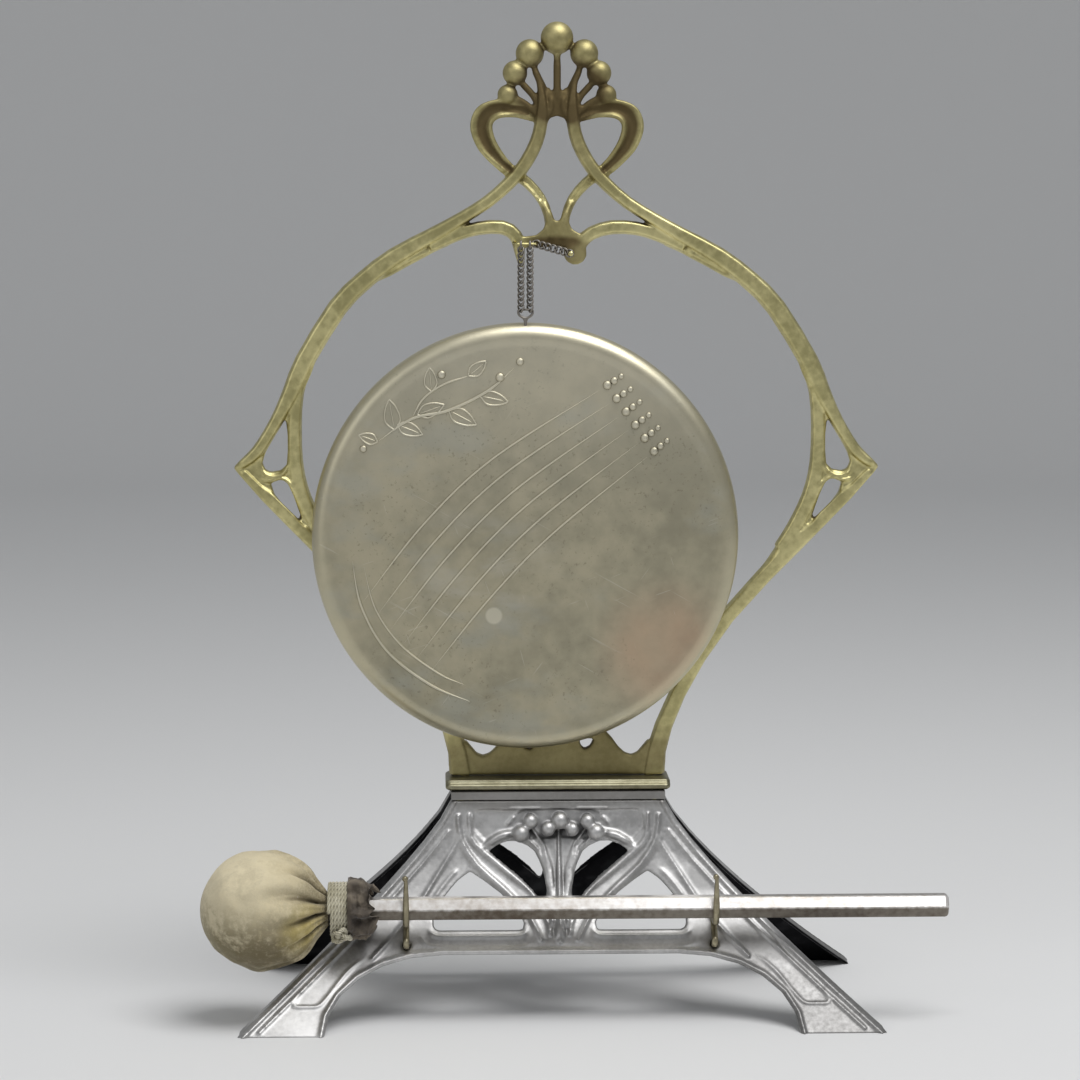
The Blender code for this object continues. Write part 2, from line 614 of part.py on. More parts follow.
def chain_strand(side):
    """One hanging stretch: a plain top link, then curb links whose lower ends face the eye."""
    x = GONG_HANG_X + side * STRAND_SPACING / 2
    return [link((x, HANG_Y, TOP_LINK_Z - LINK_PITCH * k), (0, 0, 1), (0, 1, 0),
                 -2 * LINK_TWIST, 0 if k else -2 * LINK_TWIST) for k in range(STRAND_LINKS)]


# Gong and its eye

def gong_disc():
    """The turned pan, drilled through its rim at the top for the eye's shank."""
    disc = turned(gong_profile(), GONG_SEGMENTS, (0, 1, 0),
                  (GONG_HANG_X, GONG_FRONT_Y, GONG_CENTRE_Z), closed=False)
    top = GONG_CENTRE_Z + GONG_RADIUS
    drill = cylinder(EYE_WIRE + 2 * GAP, (GONG_HANG_X, HANG_Y, top - GONG_RIM_WIDTH),
                     (GONG_HANG_X, HANG_Y, top + 0.002), 8)
    return combined(disc, [drill], 'DIFFERENCE')


# The eye's right half, as shares of its half width and of its drop below the bar.
EYE_LOOP = [(0.83, 0.0), (1.0, 0.14), (0.95, 0.55), (0.55, 0.84), (0.0, 1.0)]


def gong_eye():
    """Wire stirrup through both bottom links, its shank through the rim, with a bead inside."""
    x, wire, bead = GONG_HANG_X, EYE_WIRE / 2, GONG_RIM_WIDTH / 6
    loop = EYE_LOOP + mirrored(EYE_LOOP[-2::-1], -1)
    stirrup = tube([(x + u * EYE_HALF_WIDTH, HANG_Y, EYE_Z - v * EYE_DROP) for u, v in loop],
                   wire, 6, closed=True)
    top = GONG_CENTRE_Z + GONG_RADIUS - GONG_RIM_WIDTH * 0.84 - GAP
    shank = tube([(x, HANG_Y, EYE_Z - EYE_DROP), (x, HANG_Y, top), (x, HANG_Y, top - wire / 2),
                  (x, HANG_Y, top - bead), (x, HANG_Y, top - bead * 1.5)],
                 [wire, wire, bead * 0.8, bead, bead * 0.5], 6)
    return combined(shank, [stirrup], 'UNION')


# Base panels, drawn flat and then leaned

def lean(z):
    """How far in front of the middle the panel's middle surface stands at a height."""
    share = max(0.0, 1 - z / PANEL_TOP)
    return PANEL_TOP_SETBACK + (PANEL_FOOT_SETBACK - PANEL_TOP_SETBACK) * share ** PANEL_LEAN_POWER


def lean_stretch(z):
    """How much a thickness across the panel grows when it is measured along y."""
    share = max(0.0, 1 - z / PANEL_TOP)
    slope = ((PANEL_FOOT_SETBACK - PANEL_TOP_SETBACK) * PANEL_LEAN_POWER / PANEL_TOP
             * share ** (PANEL_LEAN_POWER - 1))
    return math.sqrt(1 + slope * slope)


def panel_front_y(z, proud=0.0):
    """The y of the front panel's outer face at a height, with a relief standing proud of it."""
    return -(lean(z) + (PANEL_THICKNESS / 2 + proud) * lean_stretch(z))


HANDLE_Y = panel_front_y(HANDLE_HEIGHT) - HANDLE_STANDOFF


def edge_half_width(z):
    """The panel's half width at a height, along its sweeping outer edge."""
    share = max(0.0, 1 - z / PANEL_TOP)
    return (PANEL_TOP_HALF_WIDTH
            + (PANEL_FOOT_HALF_WIDTH - PANEL_TOP_HALF_WIDTH) * share ** PANEL_EDGE_POWER)


def arch_point(angle):
    """A point on the elliptical leg curve of the arch; 0 is at the foot."""
    inner = PANEL_FOOT_HALF_WIDTH - PANEL_FOOT_WIDTH
    flat = inner - ARCH_LEG_REACH
    return (flat + ARCH_LEG_REACH * math.cos(angle), PANEL_ARCH_HEIGHT * math.sin(angle))


def on_panel(points):
    """Drawn panel points (x, height, extra sizes) in millimetres, at real size."""
    half, arch, top = DRAWN_PANEL
    across = PANEL_TOP_HALF_WIDTH / half
    up = (PANEL_TOP - PANEL_ARCH_HEIGHT) / (top - arch)
    return [(x * across, PANEL_ARCH_HEIGHT + (h - arch) * up, *[e * MM for e in extra])
            for x, h, *extra in points]


# Openings of the right half, as (x, height) runs that meet at corners.
INNER_OPENING = [[(26.6, 54.6), (21.5, 58.4), (14.6, 59.4), (8.2, 55.8), (4.9, 49.6), (4.3, 43.0),
                  (5.4, 38.4)],
                 [(5.4, 38.4), (13.6, 45.6), (26.6, 54.6)]]
OUTER_OPENING = [[(31.4, 49.4), (35.6, 46.6), (40.6, 41.2), (44.2, 36.0)],
                 [(44.2, 36.0), (44.4, 32.0), (43.0, 30.7), (41.4, 30.6)],
                 [(41.4, 30.6), (15.0, 30.6), (13.0, 31.2), (12.8, 33.4)],
                 [(12.8, 33.4), (20.6, 42.2), (31.4, 49.4)]]
# Beads beside the outer edge: inset, width, lowest and highest share of the height, steps, and rise
# as a share of the relief's.
EDGE_BEADS = [(0.0016, 0.0026, 0.0, 1.0, 8, 1.0), (0.0056, 0.0019, 0.02, 0.86, 6, 0.8)]
# Relief strands of the right half, as (x, height, width).
STRAP_OUTER = [(35.6, 69.0, 3.4), (34.6, 60.6, 3.4), (28.6, 51.8, 2.9), (18.6, 43.4, 2.7),
               (10.4, 35.0, 2.7), (6.4, 27.6, 2.7)]
STRAP_INNER = [(31.8, 69.4, 2.2), (31.0, 61.4, 2.2), (26.0, 56.0, 2.2), (14.4, 47.0, 2.1),
               (6.4, 38.4, 2.1), (3.2, 29.0, 2.0)]
SHOULDER = [(34.8, 61.0, 3.0), (38.6, 55.2, 3.0), (45.2, 45.4, 3.0), (50.6, 38.0, 2.8),
            (58.6, 29.4, 2.6), (66.0, 22.4, 2.4)]
BERRY_BRANCH = [(26.8, 57.6, 2.6), (20.6, 61.4, 2.8), (13.8, 62.8, 2.6)]
BERRY_STEMS = [[(9.6, 64.0, 1.5), (5.4, 58.6, 1.6), (2.8, 51.0, 1.7), (1.8, 42.0, 1.8), (1.4, 30.0, 1.9)],
               [(12.8, 62.0, 1.5), (7.4, 57.2, 1.6), (4.4, 50.0, 1.6), (3.2, 41.0, 1.6), (2.6, 32.0, 1.7)]]
MIDDLE_STEM = [(0.0, 66.0, 1.8), (0.0, 54.0, 2.0), (0.0, 40.0, 2.4), (0.0, 27.0, 3.4)]
BERRIES = [(0.4, 67.2, 3.0), (4.6, 64.0, 2.4), (-3.6, 64.2, 2.5), (10.2, 66.8, 2.6),
           (13.2, 63.0, 3.0), (-10.0, 66.8, 2.6), (-13.4, 62.6, 3.0)]


def opening(runs, side):
    """A closed loop of (x, z) points from runs that meet at corners."""
    loop = []
    for run in runs:
        steps = 1 if len(run) == 2 else 2
        loop += smooth_path(on_panel(mirrored(run, side)), steps)[:-1]
    return loop


def relief(path, rise=RELIEF_RISE):
    """A half-round ridge on the flat panel along (x, z, width) points."""
    section = [(-0.58, -0.5), (0.0, 1.0), (0.58, -0.5)]
    rings = []
    for i, (x, z, width) in enumerate(path):
        ahead, behind = path[min(i + 1, len(path) - 1)], path[max(i - 1, 0)]
        along = Vector((ahead[0] - behind[0], 0, ahead[1] - behind[1])).normalized()
        across = Vector((-along.z, 0, along.x))
        rings.append([Vector((x, -PANEL_THICKNESS / 2 - rise * v, z)) + across * (width * u)
                      for u, v in section])
    return skin(rings)


def edge_path(inset, width, low, high, steps):
    """Points beside the panel's outer edge, from one height share to another."""
    path = []
    for k in range(steps + 1):
        z = PANEL_TOP * (low + (high - low) * k / steps)
        path.append((edge_half_width(z) - inset, z, width))
    return path


def panel_outline():
    """The panel's outer loop: top, sweeping edge, foot, arch, and the same mirrored."""
    right = [(edge_half_width(z), z) for z in
             (PANEL_TOP * (1 - k / EDGE_STEPS) for k in range(EDGE_STEPS + 1))]
    right += [arch_point(math.pi / 2 * k / ARCH_STEPS) for k in range(ARCH_STEPS + 1)]
    left = [(-x, z) for x, z in reversed(right)]
    return right + left


def side_return(side):
    """The wall that runs back from the panel's outer edge."""
    rings = []
    outer = GAP / 2
    inner = outer + RETURN_WALL
    for k in range(EDGE_STEPS + 1):
        z = PANEL_TOP * (1 - k / EDGE_STEPS)
        x = edge_half_width(z)
        depth = PANEL_RETURN_DEPTH * (0.7 + 0.3 * k / EDGE_STEPS) / lean_stretch(z)
        rings.append([Vector((side * (x - outer), 0.0, z)), Vector((side * (x - inner), 0.0, z)),
                      Vector((side * (x - inner), depth, z)), Vector((side * (x - outer), depth, z))])
    return skin(rings)


def sunk_field():
    """A shallow recess behind the berries, as a cutter."""
    half = 30.4
    loop = on_panel([(half, 64.0), (half, 70.9), (-half, 70.9), (-half, 64.0), (-25.0, 58.6),
                     (0.0, 61.0), (25.0, 58.6)])
    return plate([(x, z) for x, z in loop], [], -PANEL_THICKNESS / 2 - 0.002,
                 -PANEL_THICKNESS / 2 + FIELD_SINK)


def leg_recess(side):
    """A sunk tapering field along a leg, as a cutter."""
    low, high = 0.115, 0.36
    steps = 4
    outer = []
    for k in range(steps + 1):
        z = PANEL_TOP * (low + (high - low) * k / steps)
        outer.append((edge_half_width(z) - 0.0072, z))
    inner = []
    for k in range(steps + 1):
        x, z = arch_point(math.pi / 2 * (0.235 + 0.43 * k / steps))
        inner.append((x + 0.0050, z + 0.0036))
    loop = outer + inner[::-1]
    return plate([(x * side, z) for x, z in loop], [], -PANEL_THICKNESS / 2 - 0.002,
                 -PANEL_THICKNESS / 2 + FIELD_SINK)


def z_span(face):
    """Height of a face."""
    heights = [vert.co.z for vert in face.verts]
    return max(heights) - min(heights)


def bent(flat):
    """Leans a panel that was drawn flat: cut into rows, then each height moved to its place."""
    bm = bmesh.new()
    bm.from_mesh(flat.data)
    for k in range(1, BEND_ROWS):
        height = PANEL_TOP * (k / BEND_ROWS) ** 1.3 + 0.00007
        tall = [face for face in bm.faces if z_span(face) > TALL_FACE]
        edges = {edge for face in tall for edge in face.edges}
        verts = {vert for face in tall for vert in face.verts}
        bmesh.ops.bisect_plane(bm, geom=list(verts) + list(edges) + tall, dist=0.00002,
                               plane_co=(0, 0, height), plane_no=(0, 0, 1))
    bmesh.ops.triangulate(bm, faces=bm.faces)
    for vert in bm.verts:
        z = max(vert.co.z, 0.0)
        vert.co = (vert.co.x, -lean(z) + vert.co.y * lean_stretch(z), z)
    bm.to_mesh(flat.data)
    bm.free()
    return flat


def arch_bead():
    """Points beside the arch, from a foot to just past the middle."""
    path = []
    for k in range(ARCH_STEPS + 1):
        angle = math.pi / 2 * k / ARCH_STEPS
        x, z = arch_point(angle)
        path.append((x + ARCH_BEAD_INSET * math.cos(angle), z + ARCH_BEAD_INSET * math.sin(angle),
                     ARCH_BEAD_WIDTH))
    return path + [(-GAP, path[-1][1], ARCH_BEAD_WIDTH)]


def base_panel():
    """One pierced panel with two feet, its relief, side returns and screw bosses."""
    half = PANEL_THICKNESS / 2
    holes = [opening(runs, side) for runs in (INNER_OPENING, OUTER_OPENING) for side in (1, -1)]
    flat = plate(panel_outline(), holes, half, -half)
    recesses = [sunk_field()] + [leg_recess(side) for side in (1, -1)]
    flat = combined(flat, recesses, 'DIFFERENCE')
    ridges = []
    for side in (1, -1):
        for inset, width, low, high, steps, rise in EDGE_BEADS:
            bead = edge_path(inset, width, low, high, steps)
            ridges.append(relief(mirrored(bead, side), RELIEF_RISE * rise))
        ridges += [relief(mirrored(arch_bead(), side)), side_return(side)]
        for strand, rise in ((STRAP_OUTER, 1.25), (STRAP_INNER, 1.0), (SHOULDER, 0.9),
                             (BERRY_BRANCH, 0.8)):
            ridges.append(relief(smooth_path(on_panel(mirrored(strand, side)), 2), RELIEF_RISE * rise))
        for strand in BERRY_STEMS:
            ridges.append(relief(on_panel(mirrored(strand, side)), RELIEF_RISE * 0.95))
        ridges.append(seat_boss(side))
        ridges.append(box((side * PANEL_BOSS_X - PANEL_BOSS_SIZE / 2, 0.0, PANEL_TOP - PANEL_BOSS_HEIGHT),
                          (side * PANEL_BOSS_X + PANEL_BOSS_SIZE / 2, half + PANEL_BOSS_SIZE, PANEL_TOP)))
    ridges.append(relief(on_panel(MIDDLE_STEM), RELIEF_RISE * 1.3))
    for x, z, radius in on_panel(BERRIES):
        ridges.append(ball((x, -half - radius * BERRY_RISE_SHARE + 0.0005, z), radius, 9, 5))
    return plainer(combined(flat, ridges, 'UNION'))


def screw_y():
    """The y of the panel screws, in the middle of the front panel's bosses."""
    return -PANEL_TOP_SETBACK + PANEL_THICKNESS / 2 + PANEL_BOSS_SIZE / 2


def copied(source):
    """A second object with its own copy of the mesh."""
    made = source.copy()
    made.data = source.data.copy()
    bpy.context.scene.collection.objects.link(made)
    return made


def hook_seat_y():
    """The y of the flat seats for the hooks' nuts, on bosses behind the front panel."""
    z = HOOK_HOLE_HEIGHT + HOOK_SEAT_DIAMETER / 2
    return -lean(z) + PANEL_THICKNESS / 2 * lean_stretch(z) + HOOK_SEAT_CUT


def seat_boss(side):
    """A boss on the flat panel's back, long enough to reach its seat when the panel is bent."""
    x, low = side * HOOK_X, HOOK_HOLE_HEIGHT - HOOK_SEAT_DIAMETER / 2
    length = (hook_seat_y() + lean(low)) / lean_stretch(low) + HOOK_SEAT_CUT
    return cylinder(HOOK_SEAT_DIAMETER, (x, 0, HOOK_HOLE_HEIGHT), (x, length, HOOK_HOLE_HEIGHT), 10)


def machined(panel):
    """The bent panel with its screw holes, its hook seats faced, and its feet and top cut flat."""
    cutters = [box((-1, -0.2, -0.01), (1, 0.2, 0.0)), box((-1, -0.2, PANEL_TOP), (1, 0.2, 0.1))]
    for side in (1, -1):
        x, seat = side * HOOK_X, hook_seat_y()
        cutters.append(cylinder(HOOK_SEAT_DIAMETER + HOOK_SEAT_CUT, (x, seat, HOOK_HOLE_HEIGHT),
                                (x, seat + 0.01, HOOK_HOLE_HEIGHT), 12))
        x = side * PANEL_BOSS_X
        cutters.append(cylinder(PANEL_SCREW_DIAMETER + 2 * GAP, (x, screw_y(), PANEL_TOP + 0.001),
                                (x, screw_y(), PANEL_TOP - PANEL_SCREW_LENGTH), 8))
    return combined(panel, cutters, 'DIFFERENCE')


def base_panels():
    """The front panel, bored for the hooks, and the same panel turned half round for the back."""
    front = base_panel()
    back = copied(front)
    drills = [cylinder(HOOK_WIRE + 2 * GAP, (side * HOOK_X, -0.01, HOOK_HOLE_HEIGHT),
                       (side * HOOK_X, 0.02, HOOK_HOLE_HEIGHT), 10) for side in (1, -1)]
    front = machined(bent(combined(front, drills, 'DIFFERENCE')))
    back = machined(bent(back))
    back.data.transform(Matrix.Rotation(math.pi, 4, 'Z'))
    return front, back


def top_plate():
    """Plate over the panels, with holes for the frame's screws and the panels' screws."""
    x, y = PANEL_TOP_HALF_WIDTH, TOP_PLATE_DEPTH / 2
    low = BASE_HEIGHT - TOP_PLATE_THICKNESS
    blank = box((-x, -y, low), (x, y, BASE_HEIGHT))
    cutters = []
    for side in (1, -1):
        cutters.append(cylinder(FRAME_SCREW_DIAMETER + 2 * GAP, (side * FRAME_SCREW_X, 0, low - 0.001),
                                (side * FRAME_SCREW_X, 0, BASE_HEIGHT + 0.001), 10))
        for sy in (screw_y(), -screw_y()):
            sx = side * PANEL_BOSS_X
            radius = PANEL_SCREW_DIAMETER / 2 + GAP
            wide = PANEL_SCREW_HEAD_DIAMETER / 2 + GAP
            sink = BASE_HEIGHT - (wide - radius)
            cutters.append(tube([(sx, sy, low - 0.001), (sx, sy, sink), (sx, sy, BASE_HEIGHT),
                                 (sx, sy, BASE_HEIGHT + 0.001)], [radius, radius, wide, wide], 8))
    return combined(blank, cutters, 'DIFFERENCE')


# The bar's moulding, from below: inset and height as shares of the bar's height.
BAR_MOULDING = [(0.34, 0.0), (0.08, 0.10), (0.0, 0.30), (0.06, 0.52), (0.30, 0.68), (0.44, 0.72),
                (0.34, 0.84), (0.50, 1.0)]


def foot_bar():
    """Moulded bar: a rounded roll under a thin bead, drilled for the frame's screws."""
    half = BAR_DEPTH / 2
    side = [(half - inset * BAR_HEIGHT, h) for inset, h in BAR_MOULDING]
    section = [(y, h) for y, h in side] + [(-y, h) for y, h in reversed(side)]
    end = 0.0012
    rings = []
    for x, draw in ((-BAR_LENGTH / 2, end), (-BAR_LENGTH / 2 + end, 0.0), (BAR_LENGTH / 2 - end, 0.0),
                    (BAR_LENGTH / 2, end)):
        middle = 0.5
        share = 1 - draw / half
        rings.append([Vector((x, y * share, BAR_BOTTOM + BAR_HEIGHT * (
            h if not draw else middle + (h - middle) * 0.7))) for y, h in section])
    bar = skin(rings)
    drills = [cylinder(FRAME_SCREW_DIAMETER + 2 * GAP, (side * FRAME_SCREW_X, 0, BAR_BOTTOM - 0.001),
                       (side * FRAME_SCREW_X, 0, BAR_TOP + 0.001), 10) for side in (1, -1)]
    return combined(bar, drills, 'DIFFERENCE')


def frame_screws():
    """Two screws up through the plate and the bar into the frame's foot."""
    low = BASE_HEIGHT - TOP_PLATE_THICKNESS - GAP
    shank, head = FRAME_SCREW_DIAMETER / 2, FRAME_SCREW_HEAD_DIAMETER / 2
    made = []
    for side in (1, -1):
        x = side * FRAME_SCREW_X
        made.append(tube([(x, 0, low - FRAME_SCREW_HEAD_HEIGHT), (x, 0, low - 0.0003), (x, 0, low),
                          (x, 0, low + 0.00001), (x, 0, BAR_TOP + FRAME_SCREW_BITE - 0.001),
                          (x, 0, BAR_TOP + FRAME_SCREW_BITE - 0.0002)],
                         [head * 0.9, head, head, shank, shank, shank * 0.5], 10))
    return made


def panel_screws():
    """Four flat-headed screws down through the plate into the panels' bosses."""
    shank, head = PANEL_SCREW_DIAMETER / 2, PANEL_SCREW_HEAD_DIAMETER / 2
    made = []
    for side in (1, -1):
        for y in (screw_y(), -screw_y()):
            x = side * PANEL_BOSS_X
            top = BASE_HEIGHT
            made.append(tube([(x, y, PANEL_TOP - PANEL_SCREW_LENGTH + 0.0006),
                              (x, y, PANEL_TOP - PANEL_SCREW_LENGTH + 0.0014),
                              (x, y, top - (head - shank)), (x, y, top)],
                             [shank * 0.5, shank, shank, head], 8))
    return made


# Mallet and its hooks

def bent_rod(x, route, taper):
    """A tapering round rod through (y, z) points at one x; taper gives its end's share."""
    path = smooth_path(route, 2)
    last = len(path) - 1
    radii = [HOOK_WIRE / 2 * min(1.0, taper + 3.2 * (1 - k / last)) for k in range(last + 1)]
    return tube([(x, y, z) for y, z in path], radii, 7)


def hook(side):
    """Forked rod: through the panel, up its face behind the handle, and a prong round its front."""
    x = side * HOOK_X
    r = HOOK_WIRE / 2
    low = HOOK_HOLE_HEIGHT
    under = HANDLE_HEIGHT - HANDLE_ACROSS_FLATS / 2 - GAP - r
    rise = under - low
    corner = HANDLE_ACROSS_FLATS / math.sqrt(3)
    reach = corner + GAP + r
    off = r + GAP * 2 + RELIEF_RISE * 1.2
    stem = [(hook_seat_y() + HOOK_NUT_THICKNESS + r, low), (panel_front_y(low) - off * 0.55, low),
            (panel_front_y(low) - off, low + rise * 0.24),
            (panel_front_y(low + rise / 2) - off, low + rise / 2),
            (panel_front_y(under) - off, under), (HANDLE_Y + reach, HANDLE_HEIGHT + r / 2)]
    prong = [(panel_front_y(under) - off, under + r), (HANDLE_Y + corner, under + GAP),
             (HANDLE_Y + corner / 2, under), (HANDLE_Y - corner / 2, under),
             (HANDLE_Y - corner * 0.82, under + r * 0.65), (HANDLE_Y - reach, HANDLE_HEIGHT - r * 0.6),
             (HANDLE_Y - reach, HANDLE_HEIGHT + HANDLE_ACROSS_FLATS / 2),
             (HANDLE_Y - reach - r * 0.8, HANDLE_HEIGHT + HOOK_TIP_RISE)]
    return combined(bent_rod(x, prong, 0.45), [bent_rod(x, stem, 0.7)], 'UNION')


def hook_nuts():
    """Two hexagonal nuts on the hooks' shanks, behind the front panel."""
    made = []
    z = HOOK_HOLE_HEIGHT
    near = hook_seat_y() + GAP
    for side in (1, -1):
        x = side * HOOK_X
        nut = cylinder(HOOK_NUT_DIAMETER, (x, near, z), (x, near + HOOK_NUT_THICKNESS, z), 6)
        bore = cylinder(HOOK_WIRE + 2 * GAP, (x, near - 0.001, z), (x, near + 0.01, z), 10)
        made.append(combined(nut, [bore], 'DIFFERENCE'))
    return made


def mallet_handle():
    """Six-sided bar with an edge to the front; its left end sits in the head's core."""
    flat_radius = HANDLE_ACROSS_FLATS / 2
    corner = flat_radius / math.cos(math.pi / 6)
    right = HANDLE_RIGHT_END_X
    left = right - HANDLE_LENGTH
    rings = []
    for x, share in ((left, 0.8), (left + 0.001, 0.98), (right - 0.0012, 1.0), (right - 0.0004, 0.93),
                     (right, 0.78)):
        ring = []
        for k in range(6):
            for offset in (-0.07, 0.07):
                angle = math.pi / 3 * k + offset
                ring.append(Vector((x, HANDLE_Y + corner * share * math.cos(angle),
                                    HANDLE_HEIGHT + corner * share * math.sin(angle))))
        rings.append(ring)
    return skin(rings)


CORE_RADIUS = HEAD_DIAMETER / 2 - COVER_THICKNESS - GAP
HANDLE_SOCKET = HANDLE_ACROSS_FLATS / math.sqrt(3) + GAP * 1.5
COVER_BORE = HANDLE_SOCKET + GAP / 2


def head_arc(radius, start, steps):
    """Points (radius, x) round the head, from an angle off the handle's line to the far end."""
    angles = [start + (math.pi - start) * k / steps for k in range(steps)]
    return [(radius * math.sin(a), radius * math.cos(a)) for a in angles] + [(0, -radius)]


def socket_angle():
    """Angle off the handle's line at which the core and the cover's inside begin."""
    return math.asin(min(0.9, COVER_BORE * 1.2 / (CORE_RADIUS + GAP)))


def mallet_core():
    """Felt core with a socket for the handle."""
    bottom = HANDLE_RIGHT_END_X - HANDLE_LENGTH - GAP - HEAD_CENTRE_X
    outside = head_arc(CORE_RADIUS, socket_angle(), 5)
    socket = [(0, bottom), (HANDLE_SOCKET, bottom), (HANDLE_SOCKET, outside[0][1])]
    return turned(socket + outside, COVER_GATHERS, (1, 0, 0), (HEAD_CENTRE_X, HANDLE_Y, HANDLE_HEIGHT),
                  closed=False)


def mallet_cover():
    """Leather bag over the core, gathered into a neck round the handle."""
    radius, neck = HEAD_DIAMETER / 2, NECK_DIAMETER / 2
    reach = NECK_X - HEAD_CENTRE_X
    steps = 9
    start = math.acos(min(0.9, reach * 0.80 / radius))
    outer = head_arc(radius, start, steps)[::-1]
    outer += [(neck * 1.04, reach * 1.03), (neck * 0.98, reach * 1.03 + 0.002),
              (neck * 0.98, reach + NECK_LENGTH)]
    inner = [(COVER_BORE, reach + NECK_LENGTH), (COVER_BORE, reach * 0.97)]
    inner += head_arc(CORE_RADIUS + GAP, socket_angle(), 5)
    gathered = {steps - 1: 0.0002, steps: 0.0007, steps + 1: 0.0005}

    def folds(index, angle):
        return gathered.get(index, 0) * math.cos(COVER_GATHERS * angle)

    return turned(outer + inner, 2 * COVER_GATHERS, (1, 0, 0),
                  (HEAD_CENTRE_X, HANDLE_Y, HANDLE_HEIGHT), folds, closed=False)


def mallet_tie():
    """String wound round the neck in one run, and its least gap to itself."""
    radius = NECK_DIAMETER / 2 + TIE_DIAMETER / 2 + GAP
    steps = 20
    start = NECK_X + 0.0018
    path = []
    for k in range(TIE_TURNS * steps + 1):
        angle = 2 * math.pi * k / steps + 0.6
        path.append((start + TIE_PITCH * k / steps, HANDLE_Y + radius * math.cos(angle),
                     HANDLE_HEIGHT + radius * math.sin(angle)))
    least = min((Vector(a) - Vector(b)).length for i, a in enumerate(path)
                for b in path[i + steps // 2:])
    print("string winding: least gap to itself", round((least - TIE_DIAMETER) * 1000, 2), "mm")
    return tube(path, TIE_DIAMETER / 2, 5)


def mallet_ruffle():
    """Loose leather edge beyond the string, flaring in waves."""
    start = NECK_X + NECK_LENGTH + GAP
    bore = COVER_BORE
    wide = RUFFLE_DIAMETER / 2
    profile = [(wide * 0.62, 0.0), (wide * 0.74, RUFFLE_LENGTH * 0.25), (wide * 0.96, RUFFLE_LENGTH * 0.6),
               (wide * 0.92, RUFFLE_LENGTH * 0.9), (wide * 0.70, RUFFLE_LENGTH),
               (wide * 0.56, RUFFLE_LENGTH * 0.7), (bore, RUFFLE_LENGTH * 0.6), (bore, 0.0)]
    waves = {1: 0.0004, 2: 0.0008, 3: 0.0008, 4: 0.0006}

    def flare(index, angle):
        return waves.get(index, 0) * (math.cos(7 * angle) + 0.4 * math.sin(3 * angle))

    return turned(profile, 28, (1, 0, 0), (start, HANDLE_Y, HANDLE_HEIGHT), flare)


def mallet_knot():
    """Knot of the string, below the winding at the front."""
    radius = NECK_DIAMETER / 2 + TIE_DIAMETER + GAP * 2
    x = NECK_X + 0.0018 + TIE_TURNS * TIE_PITCH / 2
    angle = math.radians(232)
    out = Vector((0, math.cos(angle), math.sin(angle)))
    hub = Vector((x, HANDLE_Y, HANDLE_HEIGHT))
    turn = Vector((1, 0, 0)).cross(out)
    size = 0.0021
    path = []
    steps = 16
    for k in range(steps):
        a = 2 * math.pi * k / steps
        path.append(hub + out * (radius + size * 0.75 + size * 0.42 * math.sin(2 * a))
                    + Vector((1, 0, 0)) * size * math.sin(a) + turn * size * 0.9 * math.cos(a))
    return tube(path, TIE_DIAMETER / 2, 5, closed=True)


def build():
    """Makes every piece and hangs it on its pivot."""
    chain_pivot = empty("chain_pivot", (GONG_HANG_X, HANG_Y, HANGER_Z), ROOT)
    gong_pivot = empty("gong_pivot", (GONG_HANG_X, HANG_Y, EYE_Z), chain_pivot)
    mallet_rest = empty("mallet_rest", (0, HANDLE_Y, HANDLE_HEIGHT), ROOT)
    front, back = base_panels()
    finish(front, "base_front_panel", SILVER, ROOT, 30)
    finish(back, "base_back_panel", SILVER, ROOT, 30)
    finish(top_plate(), "base_top_plate", SILVER, ROOT)
    finish(foot_bar(), "foot_bar", BRASS, ROOT)
    finish(frame_casting(), "gong_frame", BRASS, ROOT)
    finish_all(frame_screws(), "frame_screw", BRASS, ROOT)
    finish_all(panel_screws(), "panel_screw", BRASS, ROOT)
    finish(chain_hanger(), "chain_hanger", BRASS, ROOT)
    finish(chain_peg(), "chain_peg", BRASS, ROOT)
    finish_all(chain_bridge(), "bridge_link", STEEL, ROOT, 60)
    finish_all(chain_strand(-1), "left_strand_link", STEEL, chain_pivot, 60)
    finish_all(chain_strand(1), "right_strand_link", STEEL, chain_pivot, 60)
    finish(gong_eye(), "gong_eye", STEEL, gong_pivot)
    finish(gong_disc(), "gong_disc", GONG_BRASS, gong_pivot)
    finish(hook(-1), "mallet_hook_left", BRASS, ROOT)
    finish(hook(1), "mallet_hook_right", BRASS, ROOT)
    finish_all(hook_nuts(), "hook_nut", BRASS, ROOT)
    finish(mallet_handle(), "mallet_handle", HANDLE_SILVER, mallet_rest, 20)
    finish(mallet_core(), "mallet_core", FELT, mallet_rest)
    finish(mallet_cover(), "mallet_cover", CHAMOIS, mallet_rest, 60)
    finish(mallet_tie(), "mallet_tie", STRING, mallet_rest, 60)
    finish(mallet_knot(), "mallet_knot", STRING, mallet_rest, 60)
    finish(mallet_ruffle(), "mallet_ruffle", RUFFLE_LEATHER, mallet_rest, 60)


clear_scene()
ROOT = empty("gong_root", (ORIGIN_SHIFT_X, 0, 0))
build()
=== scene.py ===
"""Table gong: a small brass gong hung on a chain in a cast whiplash hoop, with its mallet.

The pieces are dressed in the order in which the gong is put together, from the base upwards.
"""
import math

import bmesh
import bpy
import json
import numpy
from mathutils import Matrix, Vector, noise
from mathutils.bvhtree import BVHTree

